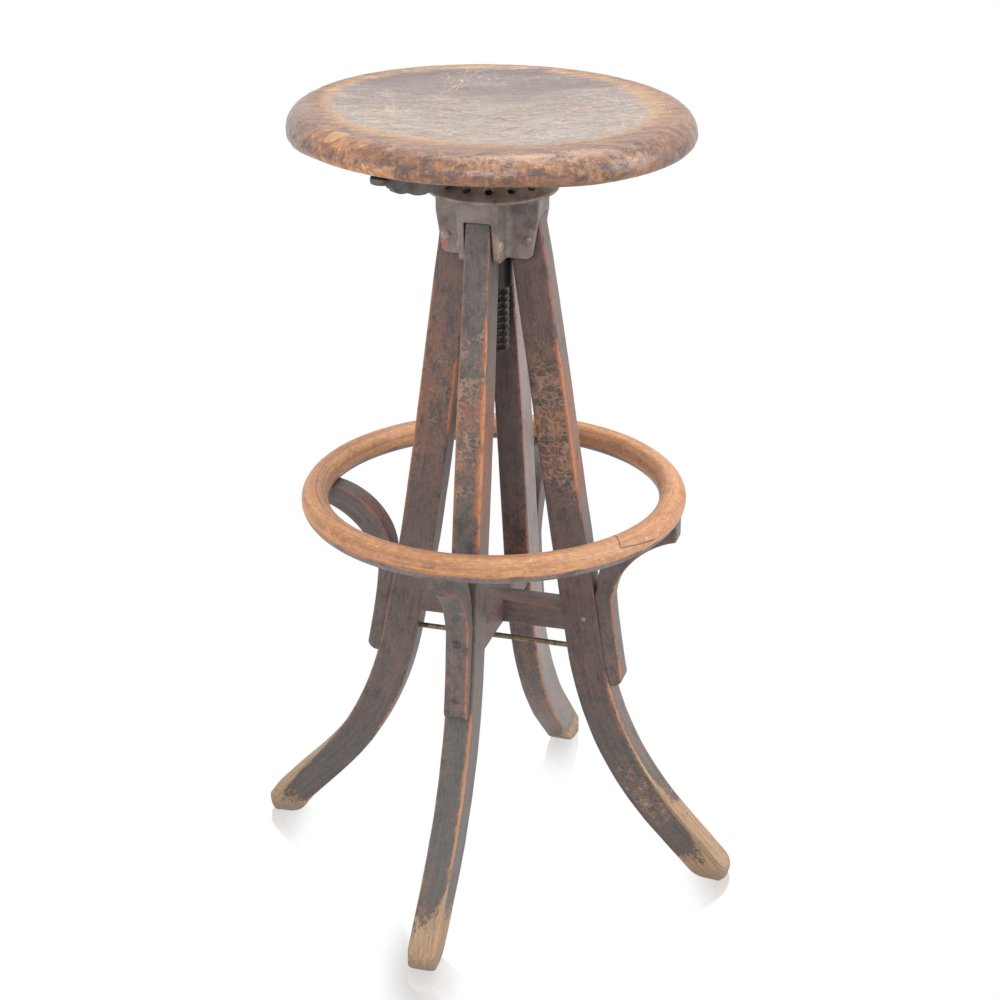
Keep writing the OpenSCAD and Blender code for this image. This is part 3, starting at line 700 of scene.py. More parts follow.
def bar(name, stations, run, fields, shape=None):
    """A bar swept through stations. Each station is a dict: inner and outer points, across (unit vector),
    width, r (corner radius) and along (distance from the bar's start). fields(i) gives the vertex fields from
    the measures of each vertex: along, u (across), v (out from the inner face), t (thickness), w (width),
    side, x, y, z and arris (distance from the nearest long edge). shape(i, verts) may move the points."""
    side, f, away = run
    cols = len(side)
    verts = []
    i = {k: [] for k in ("along", "u", "v", "t", "w", "side")}
    for st in stations:
        thick = np.linalg.norm(st["outer"] - st["inner"])
        out = (st["outer"] - st["inner"]) / max(thick, 1e-6)
        w = st["width"]
        r = min(st["r"], 0.45 * thick, 0.45 * w)
        corners = np.array([(w / 2 - r, thick - r), (w / 2 - r, r), (r - w / 2, r), (r - w / 2, thick - r)])
        u, v = (corners[side - 1] * (1 - f) + corners[side] * f + away * r).T
        verts.append(st["inner"] + np.outer(u, st["across"]) + np.outer(v, out))
        for key, value in zip(i, (st["along"], u, v, thick, w, side)):
            i[key].append(np.broadcast_to(value, cols))
    i = {key: np.concatenate(rows) for key, rows in i.items()}
    i["x"], i["y"], i["z"] = np.vstack(verts).T
    for key, row in i.items():
        i[key] = np.append(row, [row[:cols].mean(), row[-cols:].mean()])
    i["arris"] = np.maximum(i["w"] / 2 - np.abs(i["u"]), np.minimum(i["v"], i["t"] - i["v"]))
    attrs = fields(i)
    verts = np.column_stack([i["x"], i["y"], i["z"]])
    if shape:
        verts = shape(i, verts)
    attrs["gp"] = np.column_stack([i["along"], i["u"], i["v"]]) * MM
    return new_mesh(name, verts, capped_faces(len(stations), cols), attrs)


def stations(bearing, pairs, size_at):
    """Stations for bar() from pairs of inner and outer points, each (distance from the axis, height).
    size_at(n, along, z, z of the outer point) gives the width and the corner radius."""
    d, across = axes(bearing)
    out, along, last = [], 0.0, None
    for n, (inner, outer) in enumerate(pairs):
        mid = (np.array(inner) + np.array(outer)) / 2
        if last is not None:
            along += np.linalg.norm(mid - last)
        last = mid
        width, r = size_at(n, along, mid[1], outer[1])
        out.append({"inner": place(d, *inner), "outer": place(d, *outer), "across": across, "width": width,
                    "r": r, "along": along})
    return out


def window(lo, hi, soft, z):
    """1 between lo and hi, falling off softly at both."""
    return smooth(lo - soft, lo + soft, z) * smooth(hi + soft, hi - soft, z)


def arris_wear(i, rules):
    """Wear along the long edges. Rules: edge (o outer or i inner, on the + or the - side), z from, z to,
    strength, width."""
    outer = i["v"] > i["t"] / 2
    pos = i["u"] > 0
    total = np.zeros(len(outer))
    for edge, lo, hi, amount, width in rules:
        here = (outer == (edge[0] == "o")) & (pos == (edge[1] == "+"))
        wear = here * window(lo, hi, 14, i["z"]) * amount * np.exp(-((i["arris"] / width) ** 1.6))
        total = np.maximum(total, wear)
    return total


def patch(i, side, lo, hi, amount, soft=12, across=None):
    """A worn area on one side between two heights; across limits it to a share of the side's width."""
    shown = window(lo, hi, soft, i["z"])
    if across is not None:
        f = i["v"] / np.maximum(i["t"], 1e-6) if side in (1, 3) else i["u"] / i["w"] + 0.5
        shown = shown * window(*across, 0.12, f)
    return amount * shown * (i["side"] == side)


def worn(i, rules, patches):
    """Wear along the edges by rules, and on the sides by patches, each row as patch() takes it."""
    wear = arris_wear(i, rules)
    for row in patches:
        wear = np.maximum(wear, patch(i, *row))
    return wear


# ---------------------------------------------------------------- camera, light and floor

VIEW_TURN, VIEW_DIP, VIEW_ROLL = 0.295, 0.416, -0.003
VIEW_AT, VIEW_LENS = (0.5503, -1.7916, 1.1876), 80.93


def camera():
    data = bpy.data.cameras.new("camera")
    data.lens = VIEW_LENS
    data.sensor_width = 36.0
    data.clip_end = 50.0
    ob = add_object("camera", data)
    turn = Matrix.Rotation(VIEW_TURN, 4, "Z") @ Matrix.Rotation(math.pi / 2 - VIEW_DIP, 4, "X")
    ob.matrix_world = Matrix.Translation(VIEW_AT) @ turn @ Matrix.Rotation(VIEW_ROLL, 4, "Z")
    scene.camera = ob


def area(name, at, aim_height, size, power):
    """A soft lamp that looks at the stool's axis at aim_height."""
    data = bpy.data.lights.new(name, "AREA")
    data.shape = "RECTANGLE"
    data.size, data.size_y = size
    data.energy = power
    ob = add_object(name, data)
    ob.location = at
    ob.rotation_euler = (Vector((0, 0, aim_height)) - Vector(at)).to_track_quat("-Z", "Y").to_euler()


def lights():
    world = bpy.data.worlds.new("studio")
    scene.world = world
    world.use_nodes = True
    world.node_tree.nodes["Background"].inputs[0].default_value = (1.0, 1.0, 1.0, 1.0)
    world.node_tree.nodes["Background"].inputs[1].default_value = 1.0
    area("overhead", (0.2, 0.5, 2.6), 0.6, (1.8, 1.8), 46)
    area("from_right", (2.3, 0.15, 1.45), 0.5, (1.0, 1.9), 42)
    area("from_front", (0.25, -2.0, 1.95), 0.6, (0.5, 0.4), 16)
    area("from_left", (-1.9, -1.7, 1.0), 0.45, (1.2, 1.4), 16)
    scene.view_settings.view_transform = "Standard"
    scene.view_settings.look = "None"


GLEAM_OUT, GLEAM_TURN, GLEAM_SIZE = 0.226, -0.295, (0.042, 0.115)


def floor_white():
    """White, with a faint reflection of the feet only, and see-through from below."""
    s = Shader("floor_white")
    shine = None
    for a in SIDES.values():
        spot = s.vec("SUBTRACT", s.coords(), (GLEAM_OUT * math.cos(a), GLEAM_OUT * math.sin(a), 0.0))
        spot = s.scaled(s.turned(spot, GLEAM_TURN), 1 / GLEAM_SIZE[0], 1 / GLEAM_SIZE[1], 1.0)
        shine = s.most(shine, s.step(s.vec("LENGTH", spot), 1.0, 0.12))
    white = (1, 1, 1, 1)
    glow = s.node("Emission", {0: white, 1: 1.0})
    gloss = s.node("BsdfGlossy", {"Roughness": 0.09, "Color": white})
    both = s.node("MixShader", {0: s.times(shine, 0.40), 1: glow.outputs[0], 2: gloss.outputs[0]})
    below = s.node("NewGeometry").outputs["Backfacing"]
    clear = s.node("BsdfTransparent").outputs[0]
    return s.surface(s.node("MixShader", {0: below, 1: both.outputs[0], 2: clear}).outputs[0])


def add_floor():
    n = 6000
    floor = new_mesh("floor", [(-n, -n, 0), (n, -n, 0), (n, n, 0), (-n, n, 0)], [(0, 1, 2, 3)], closed=False)
    floor.location.z = -0.0006
    paint(floor, floor_white())


# ---------------------------------------------------------------- legs: points are (distance out, height)

LEAN, FOOT = math.radians(8.4), math.radians(43.0)
LEG_T = 33.0
LEG_TOP, LEG_TOP_OUT = 634.0, 43.4
NECK, NECK_R = 596.0, 24.2
R_IN, R_OUT = 340.0, 318.0
KNEE_IN = np.array([72.4, 226.0])
KNEE_OUT = KNEE_IN + flat_dir(LEAN) * LEG_T
C_IN = KNEE_IN + flat_dir(LEAN) * R_IN
C_OUT = KNEE_OUT + flat_dir(LEAN) * R_OUT
ANKLE_IN = C_IN - flat_dir(FOOT) * R_IN
ANKLE_OUT = C_OUT - flat_dir(FOOT) * R_OUT
TOE_R, TOE_TURN = 13.0, math.radians(-8)
TOE_CORNER = 8.0
TOE_X = REACH - TOE_R
TOE_C = np.array([TOE_X, ANKLE_OUT[1] - (TOE_R + (TOE_X - ANKLE_OUT[0]) * math.cos(FOOT)) / math.sin(FOOT)])
HEEL = np.array([ANKLE_IN[0] + ANKLE_IN[1] * math.tan(FOOT), 0.0])
HEEL_SOFT = 9.0


def inner_at(z):
    """Inner face of a leg at height z, above the knee."""
    return KNEE_IN[0] - (z - KNEE_IN[1]) * math.tan(LEAN)


def outer_at(z):
    """Outer face of a leg at height z."""
    if z >= KNEE_OUT[1]:
        return KNEE_OUT[0] - (z - KNEE_OUT[1]) * (KNEE_OUT[0] - LEG_TOP_OUT) / (LEG_TOP - KNEE_OUT[1])
    return C_OUT[0] - math.sqrt(R_OUT ** 2 - (z - C_OUT[1]) ** 2)


def toe_pairs():
    """Inner and outer points from the ankle to the tip of the toe, with a soft heel."""
    start = TOE_C + flat_dir(FOOT) * TOE_R
    heel_from = HEEL + (ANKLE_IN - HEEL) * HEEL_SOFT / np.linalg.norm(ANKLE_IN - HEEL)
    heel_to = HEEL + np.array([HEEL_SOFT, 0])
    pairs = []
    for f in np.arange(1, 26) / 25:
        pairs.append((ANKLE_IN + (heel_from - ANKLE_IN) * f, ANKLE_OUT + (start - ANKLE_OUT) * f))
    tip_r = (TOE_C[1] + TOE_R * math.sin(TOE_TURN)) / (1 + math.sin(TOE_TURN))
    tip_c = TOE_C + flat_dir(TOE_TURN) * (TOE_R - tip_r)
    for f in np.arange(1, 25) / 24:
        a = FOOT + (-math.pi / 2 - FOOT) * f
        arc = TOE_C + flat_dir(a) * TOE_R if a > TOE_TURN else tip_c + flat_dir(a) * tip_r
        g = f * 2
        if f < 0.5:
            sole = heel_from * (1 - g) ** 2 + HEEL * 2 * g * (1 - g) + heel_to * g ** 2
        else:
            sole = heel_to + np.array([(tip_c[0] - 3 - heel_to[0]) * (g - 1), 0.0])
        pairs.append((sole, arc))
    return pairs


def leg_stations(bearing, seed):
    """Stations of one leg from its top to its toe."""
    pairs = []
    for z in list(np.linspace(LEG_TOP, NECK + 0.2, 16)) + list(np.linspace(NECK - 0.2, KNEE_IN[1], 150)):
        f = (LEG_TOP - z) / (LEG_TOP - KNEE_IN[1])
        z_out = LEG_TOP + (KNEE_OUT[1] - LEG_TOP) * f
        x_in = max(inner_at(z), NECK_R) if z > NECK else inner_at(z)
        pairs.append(((x_in, z), (outer_at(z_out), z_out)))
    for a in LEAN + (FOOT - LEAN) * np.arange(1, 85) / 84:
        pairs.append((C_IN - flat_dir(a) * R_IN, C_OUT - flat_dir(a) * R_OUT))

    def size_at(n, along, z, z_out):
        toe = max(0.0, min(1.0, (24 - z_out) / 24))
        wob = wander(along * 0.05, seed * 7.1, 3.3)
        r = 1.7 + 0.7 * wob + 1.4 * max(0.0, (60 - z) / 60) + 1.6 * toe
        return 25.5 - 3.5 * max(0.0, (z - 470) / 164), r
    return stations(bearing, pairs + toe_pairs(), size_at)


# wear along the long edges: edge, z from, z to, strength, width
LEG_RULES = {
    "front": [
        ("o-", 520, 640, 0.84, 1.5), ("o-", 345, 520, 1.0, 2.2), ("o-", 0, 345, 0.66, 1.6),
        ("o+", 560, 640, 0.74, 1.6), ("o+", 500, 560, 1.0, 3.2), ("o+", 440, 500, 1.15, 4.6),
        ("o+", 372, 440, 1.25, 6.0), ("o+", 345, 372, 0.95, 3.8), ("o+", 40, 200, 1.0, 2.8),
        ("i+", 0, 640, 0.4, 1.0), ("i-", 0, 640, 0.4, 1.0)],
    "right": [
        ("o-", 530, 640, 0.80, 1.7), ("o-", 380, 530, 1.1, 3.3), ("o-", 355, 380, 0.9, 2.4),
        ("o-", 40, 200, 1.0, 2.8), ("o+", 0, 640, 0.6, 1.4), ("i-", 0, 640, 0.55, 1.3),
        ("i+", 0, 640, 0.4, 1.0)],
    "left": [
        ("o+", 570, 640, 0.6, 1.4), ("o+", 330, 570, 1.0, 2.2), ("o+", 0, 330, 0.66, 1.5),
        ("i+", 425, 500, 1.15, 3.2), ("i+", 0, 400, 0.66, 1.7), ("i+", 500, 640, 0.6, 1.2),
        ("o-", 0, 640, 0.6, 1.3), ("i-", 0, 640, 0.4, 1.0)],
    "back": [
        ("o+", 0, 640, 0.6, 1.3), ("o-", 0, 640, 0.7, 1.6), ("i+", 0, 640, 0.5, 1.1),
        ("i-", 330, 640, 0.6, 1.4), ("i-", 0, 330, 0.9, 1.8)],
}
# worn and scratched areas on the sides: side, z from, z to, strength, softness, share of the side across
LEG_PATCHES = {
    "front": [(0, 466, 478, 0.44, 8), (0, 452, 470, 0.34, 8), (0, 418, 428, 0.34, 6),
              (1, 350, 500, 0.40, 40, (-0.2, 1.1))],
    "right": [(3, 400, 510, 0.20, 26, (0.35, 1.1)), (0, 375, 510, 0.52, 40, (-0.6, 0.9)),
              (0, 100, 185, 0.20, 24)],
    "left": [(1, 380, 560, 0.27, 60), (1, 395, 480, 0.40, 30, (-0.5, 0.12))],
    "back": [(2, 20, 330, 0.24)],
}
LEG_CRACKS = {
    "front": [(0, 365, 560, 0.95, 80)],
    "right": [(3, 372, 522, 0.95, 50, (0.05, 1.1)), (3, 46, 120, 0.62, 34, (0.1, 0.9))],
    "left": [(1, 380, 560, 0.45, 70)],
    "back": [],
}
PAINTS = {
    # outer face, sides
    "front": ((82, 79, 77), (97, 86, 80)),
    "right": ((100, 91, 85), (84, 70, 67)),
    "back": ((128, 118, 114), (76, 60, 58)),
    # the back leg's lighter paint lies on its +X face, which the lamp on the right lights: partly worn
    # whitish paint, partly painted light
    "left": ((88, 81, 78), (90, 76, 72)),
}


def sprung(which, verts):
    """Where an old leg and its bracket have crept from their true place: the left one in at mid height and
    out at the foot, the right one out, and the back one to one side."""
    out = np.array(verts, float)
    x, y, z = out.T
    if which == "back":
        turn = -math.radians(1.6) * smooth(580, 380, z) - math.radians(1.3) * smooth(330, 60, z)
        c, s = np.cos(turn), np.sin(turn)
        out[:, 0], out[:, 1] = x * c - y * s, x * s + y * c
    elif which == "left":
        move = -4.6 * smooth(200, 330, z) * (1 - 0.72 * smooth(380, 640, z))
        move = move + 3.6 * smooth(105, 45, z) * smooth(1, 24, z)
        out[:, 0] = np.maximum(x - move, -REACH)
    elif which == "right":
        move = 1.1 * smooth(110, 190, z) + 1.2 * smooth(380, 520, z) * smooth(645, 590, z)
        out[:, 0] = np.minimum(x + move, REACH)
    return out


def leg_shape(which):
    """Rounds the corners of the toe as seen from above, then sets the leg where it stands."""
    across = axes(SIDES[which])[1]

    def shape(i, verts):
        past = np.clip((np.hypot(i["x"], i["y"]) - (REACH - TOE_CORNER)) / TOE_CORNER, 0, 1)
        loss = TOE_CORNER * 0.8 * (1 - np.sqrt(1 - 0.96 * past ** 2)) / (i["w"] / 2)
        return sprung(which, verts - np.outer(i["u"] * loss, across))
    return shape


def bare_below(z, soft, level, *edges):
    """1 below that level and 0 above it; the level is higher near edges, each (rise, distance, width)."""
    for rise, away, width in edges:
        level = level + rise * np.exp(-away / width)
    return np.clip(0.5 + (level - z) / soft, 0, 1)


def leg_bare(which, i):
    """Where a leg's foot has lost its paint, higher along the edges that rub."""
    z, u, v, side = i["z"], i["u"], i["v"], i["side"]
    from_out, from_neg, from_pos = i["t"] - v, u + 12.7, np.maximum(12.7 - u, 0)
    if which == "front":
        return np.where(side == 1, bare_below(z, 40, 36, (46, from_out, 3.0)),
                        bare_below(z, 44, 38, (34, from_pos, 4.0)))
    if which == "right":
        return np.where(side == 0, bare_below(z, 60, 72, (110, from_neg, 3.0)),
                        bare_below(z, 36, 18, (50, from_out, 6.0), (100, from_out, 2.0), (16, v, 2.0)))
    if which == "left":
        return bare_below(z, 44, 14, (76, from_out, 5.0), (26, v, 1.8))
    return np.where(side == 3, bare_below(z, 24, 22, (52, from_out, 3.5), (52, v + i["t"], 3.0)),
                    bare_below(z, 24, 8, (40, from_neg, 3.0)))


def leg_tone(which, i):
    """1 for the neutral outer paint, 0 for the browner side paint. On the back leg the lighter paint is laid
    on the face lit from the right, partly as painted light.
    """
    side = i["side"]
    if which == "back":
        # the back leg's +X face, lit by the lamp on the right, takes the lighter paint: partly painted light
        return np.where(side == 3, 0.95, 0.05)
    tone = np.where(side == 0, 0.95, np.where(side == 2, 0.35, 0.05))
    if which == "front":
        tone = np.where(side == 1, 0.35, tone)
    return np.clip(tone + 0.45 * smooth(230, 80, i["z"]) * (side != 0), 0, 1)


def leg_fields(which):
    def fields(i):
        crack = np.zeros(len(i["z"])) + sum(patch(i, *row) for row in LEG_CRACKS[which])
        if which == "front":
            crack = crack * (0.55 + 0.45 * np.exp(-np.maximum(i["arris"] - 1, 0) / 3.4))
        return {"wear": worn(i, LEG_RULES[which], LEG_PATCHES[which]), "crack": crack,
                "bare": leg_bare(which, i), "tone": leg_tone(which, i)}
    return fields


def legs():
    run = section(10, 12, 3)
    for n, (which, a) in enumerate(SIDES.items()):
        ob = bar("leg_" + which + "_wood", leg_stations(a, n + 1), run, leg_fields(which), leg_shape(which))
        mat = painted_wood("leg_paint_" + which, *PAINTS[which], 0.31 * n, claws=which == "front",
                           low_share=0.35 if which == "back" else 0.75)
        put(ob, "base", mat, "leg_wood", "leg_" + which)


# ---------------------------------------------------------------- brackets

SHANK_C, SHANK_R = np.array([618.0, 300.0]), 505.0
SHANK_LOW, SHANK_END_R, SHANK_TOP = 195.0, 8.0, 279.0
UNDER_C, UNDER_R = np.array([190.9, 267.5]), 78.3
OVER_C, OVER_R = np.array([170.3, 289.9]), 70.7
BRACKET_TIP = 171.0


def shank_at(z):
    """Outer face of a bracket's shank at height z."""
    return SHANK_C[0] - math.sqrt(SHANK_R ** 2 - (z - SHANK_C[1]) ** 2)


def bracket_stations(bearing, seed):
    """Stations of one bracket from its lower end up to its tip below the ring."""
    pairs = []
    bend = SHANK_LOW + SHANK_END_R
    low_end = SHANK_LOW + SHANK_END_R * (1 - np.cos(np.linspace(0, math.pi / 2, 9)))
    for z in list(low_end) + list(np.linspace(204.5, SHANK_TOP, 32)):
        x = shank_at(z)
        if z < bend:
            x = shank_at(bend) - SHANK_END_R + math.sqrt(max(0.0, SHANK_END_R ** 2 - (bend - z) ** 2))
        pairs.append(((outer_at(z) - 0.35, z), (x, z)))
    swept = []
    for centre, radius in ((UNDER_C, UNDER_R), (OVER_C, OVER_R)):
        a0, a1 = math.asin((SHANK_TOP - centre[1]) / radius), math.acos((centre[0] - BRACKET_TIP) / radius)
        a = (a0 + (a1 - a0) * np.arange(1, 49) / 48)[:, None]
        swept.append(centre + radius * np.hstack([-np.cos(a), np.sin(a)]))
    for under, over in zip(*swept):
        if over[1] < SHANK_TOP + 12:
            over[0] = 97.4 + (over[1] - SHANK_TOP) / 12 * 2.3
        pairs.append((over, under))

    def size_at(n, along, z, z_out):
        r = 1.5 + 0.6 * wander(along * 0.06, seed * 5.3, 9.1)
        return 21, min(r, 1.0) if n < 3 else r
    return stations(bearing, pairs, size_at)


BRACKET_RULES = {
    "front": [
        ("o+", 190, 300, 0.95, 1.7), ("o+", 300, 360, 0.7, 1.6), ("o-", 190, 360, 0.66, 1.3),
        ("i+", 280, 360, 0.6, 1.2), ("i-", 280, 360, 0.5, 1.2)],
    "right": [
        ("o-", 190, 360, 0.85, 1.8), ("o+", 190, 360, 0.7, 1.5), ("i-", 190, 360, 0.7, 1.4),
        ("i+", 280, 360, 0.5, 1.2)],
    "back": [
        ("o+", 190, 360, 0.6, 1.3), ("o-", 190, 360, 0.6, 1.3), ("i+", 280, 360, 0.5, 1.2),
        ("i-", 280, 360, 0.5, 1.2)],
    "left": [
        ("o+", 190, 360, 0.5, 1.2), ("o-", 190, 360, 0.6, 1.2), ("i+", 280, 360, 0.8, 1.7),
        ("i-", 280, 360, 0.6, 1.3)],
}
BRACKET_PATCHES = {
    "front": [(0, 316, 345, 0.44, 14)],
    "right": [(3, 190, 226, 0.34, 14), (0, 190, 220, 0.30, 14)],
    "back": [],
    "left": [(2, 318, 350, 0.42, 10)],
}


def bracket_fields(which):
    def fields(i):
        return {"wear": worn(i, BRACKET_RULES[which], BRACKET_PATCHES[which]),
                "crack": patch(i, 0, 200, 330, 0.3), "bare": np.zeros(len(i["z"])),
                "tone": np.where(i["side"] == 0, 0.9, 0.45)}
    return fields


def bracket_shape(which):
    """Sets a bracket on its crept leg. The lower end of the right one stands off and hangs a little lower."""
    def shape(i, verts):
        out = sprung(which, verts)
        if which == "right":
            z = out[:, 2]
            out[:, 0] += 2.4 * smooth(300, 215, z) * i["v"] / i["t"]
            out[:, 2] -= 4.0 * smooth(260, 200, z)
        return out
    return shape


def brackets():
    run = section(9, 7, 3)
    for n, (which, a) in enumerate(SIDES.items()):
        ob = bar("bracket_" + which + "_wood", bracket_stations(a, n + 1), run, bracket_fields(which),
                 bracket_shape(which))
        mat = painted_wood("bracket_paint_" + which, (86, 82, 79), (88, 78, 74), 1.7 + 0.23 * n)
        put(ob, "base", mat, "bracket_wood", "bracket_" + which)


# ---------------------------------------------------------------- stretchers

def stretcher_fields(i):
    wear = np.where(i["v"] > i["t"] / 2, 0.58, 0.45) * np.exp(-((i["arris"] / 1.6) ** 1.6))
    zero = np.zeros(len(wear))
    return {"wear": wear, "crack": zero, "bare": zero, "tone": np.where(i["side"] == 0, 0.4, 0.1)}


def stretcher(name, side, low, high, seed):
    """A rail between two legs, along that side's bearing; its ends run a little way into the legs."""
    d, across = axes(SIDES[side])
    out = []
    for s in np.linspace(-73, 73, 61):
        out.append({"inner": place(d, s, low), "outer": place(d, s, high), "across": across, "width": 25,
                    "r": 1.4 + 0.5 * wander(s * 0.05, seed, 1.0), "along": s + 80})
    return bar(name, out, section(8, 8, 3), stretcher_fields)


def stretchers():
    mat = painted_wood("stretcher_paint", (96, 84, 81), (92, 78, 75), 3.9)
    put(stretcher("stretcher_side_wood", "right", 243.2, 267.0, 1), "base", mat, "leg_wood", "stretcher_side")
    put(stretcher("stretcher_fore_wood", "back", 243.0, 266.75, 2), "base", mat, "leg_wood", "stretcher_fore")


# ---------------------------------------------------------------- foot ring

RING_R, RING_ROD_R, RING_Z = 162.3, 12.15, 367.3


def signed(a):
    """A bearing from 0 to 2 pi, as one from -pi to pi."""
    return np.where(a > math.pi, a - 2 * math.pi, a)


def foot_ring():
    n, m = 420, 44
    a, p = np.repeat(turns(n), m), np.tile(turns(m), n)
    wob = wave_noise(np.column_stack([np.cos(a) * 3, np.sin(a) * 3, p * 0]), 4, 2)
    rod = RING_ROD_R * (1 - 0.012 * np.abs(wob))
    r, z = RING_R + rod * np.cos(p), RING_Z + rod * np.sin(p)
    low = 0.5 + (-0.36 - np.sin(p)) * 1.1
    low = low + 0.16 * np.cos(a - SIDES["front"]) * (np.cos(p) > 0)
    dirt = 0.30 * np.exp(-((np.degrees(a) - 196) / 7.0) ** 2)
    dirt = dirt + 0.25 * smooth(0.25, 1.0, np.sin(a)) * smooth(0.3, -0.6, np.cos(p))
    attrs = {"gp": np.column_stack([signed(a) * RING_R, r - RING_R, z]) * MM,
             "bare": np.clip(low, 0, 1), "wear": np.clip(dirt, 0, 1),
             "deg": np.degrees(signed(a)), "tube": np.degrees(signed(p))}
    verts = np.column_stack([r * np.cos(a), r * np.sin(a), z])
    ob = new_mesh("foot_ring_wood", verts, tube_faces(n, m, close_rows=True), attrs)
    put(ob, "base", ring_wood("ring_wood"), "ring_wood", "foot_ring")


# ---------------------------------------------------------------- seat

SEAT_LONG, SEAT_SHORT, SEAT_OFF = 1.022, 0.956, np.array([-1.8, 1.0])
# bearing along which the seat's far side is darkened as painted shade; it is the camera's bearing
SHADED_REAR_TURN = 0.295
RIM_R, DISH, RECESS_R, RECESS = 19.0, 6.0, 24.0, 17.0


def arc(x, z, r, start, end, count):
    """Points of an arc about (x, z), without the first one."""
    return [(x + r * math.cos(a), z + r * math.sin(a)) for a in np.linspace(start, end, count)[1:]]


def seat_profile():
    """Half outline of the board from the middle of the top, over the rim, to the recess below."""
    lo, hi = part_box("seat_board")
    radius, low, top = hi.x / MM, lo.z / MM, hi.z / MM
    dish_r = radius - 26
    under_r = top - low - RIM_R
    pts = []
    for r in np.linspace(0, dish_r, 60):
        pts.append((r, top - DISH + 5.7 * (0.5 * (r / dish_r) ** 2 + 0.5 * float(smooth(24, dish_r + 5, r)))))
    pts += arc(radius - RIM_R, top - RIM_R, RIM_R, math.pi / 2, 0, 34)
    pts += arc(radius - under_r, low + under_r, under_r, 0, -math.pi / 2, 16)
    pts += [(r, low) for r in np.linspace(radius - under_r, RECESS_R, 34)[1:]]
    pts += [(RECESS_R, low + 5), (RECESS_R, low + 11), (RECESS_R, low + RECESS), (RECESS_R / 2, low + RECESS)]
    return np.array(pts), low


def around(a, deg, width):
    """1 at that bearing, falling off to both sides."""
    off = np.angle(np.exp(1j * (a - math.radians(deg))))
    return np.exp(-((off / math.radians(width)) ** 2))


def seat_fields(a, r, z, low, verts):
    """Where the hollow, the golden band and the chips are, and the painted shade darkening the seat's far
    side.
    """
    upper = (z > low + 10).astype(float)
    front, right, back = around(a, 262, 62), around(a, 25, 42), around(a, 100, 60)
    hollow_r = 146 - 30 * front - 12 * right
    fade = 15 + 16 * front + 17 * right + 8 * back
    tan = np.exp(-((np.maximum(r - hollow_r, 0) / fade) ** 1.5)) * upper
    gold = np.maximum.reduce([around(a, 240, 50), around(a, 172, 28), 0.8 * right, 0.9 * back])
    side = smooth(140, 160, r) * (z > low + 0.5)
    chip = 0.44 * around(a, 236, 24) * side + 0.30 * around(a, 268, 46) * side * smooth(low + 14, low + 3, z)
    chip = np.maximum(np.maximum(chip, 0.22 * around(a, 292, 56) * side), 0.06 * side)
    # painted shade: the seat's far side, along the camera's bearing, darkened; it goes out as the attribute
    # wear
    rear_shade = smooth(-40, 140, verts[:, 1] * math.cos(SHADED_REAR_TURN) - verts[:, 0] * math.sin(SHADED_REAR_TURN))
    return {"hollow": smooth(17, -17, r - hollow_r) * upper, "tan": tan * (0.60 + 0.40 * gold),
            "chip": chip - 0.16 * around(a, 196, 22) * side, "wear": rear_shade}


def knocked(a, r, z, low, verts):
    """The board's edge, knocked and worn: small dents that only take wood away, and the wood below the rim
    worn away at the front left."""
    dents = np.abs(wave_noise(verts * 0.045, 6, 4)) * 0.9
    dents = dents + np.clip(wave_noise(verts * 0.11, 2, 3), 0, 1) * 0.5
    inward = np.array([[0, 0, low + 12.0]]) - verts
    inward /= np.maximum(np.linalg.norm(inward, axis=1), 1e-6)[:, None]
    verts = verts + inward * (dents * smooth(120, 165, r) * (z > low + 2))[:, None]
    bearing = np.degrees(np.angle(np.exp(1j * a)))
    lift = 2.8 * smooth(-150, -128, bearing) * smooth(-44, -72, bearing)
    verts[:, 2] += lift * smooth(120, 160, r) * smooth(low + 17, low + 4, z)
    return verts


def shrunk(verts):
    """The board has shrunk across its grain, and sits a little off centre."""
    grain = flat_dir(SEAT_GRAIN)
    side_on = np.array([-grain[1], grain[0]])
    flat = np.outer(verts[:, :2] @ grain, grain) * SEAT_LONG
    flat = flat + np.outer(verts[:, :2] @ side_on, side_on) * SEAT_SHORT
    return np.column_stack([flat + SEAT_OFF, verts[:, 2]])


def seat():
    prof, low = seat_profile()
    n, m = len(prof) - 1, 288
    a = np.append(np.tile(turns(m), n), [0, 0])
    r = np.append(np.repeat(prof[1:, 0], m), [0, 0])
    z = np.append(np.repeat(prof[1:, 1], m), [prof[0, 1], low + RECESS])
    verts = knocked(a, r, z, low, np.column_stack([r * np.cos(a), r * np.sin(a), z]))
    attrs = seat_fields(a, r, z, low, verts)
    ob = new_mesh("seat_board_wood", shrunk(verts), capped_faces(n, m), attrs)
    put(ob, "seat", seat_wood("seat_wood"), "seat_wood", "seat_board")


# ---------------------------------------------------------------- iron castings, from the frame's own solids

LEVER_REACH, LEVER_DRAW = 100.0, 0.77


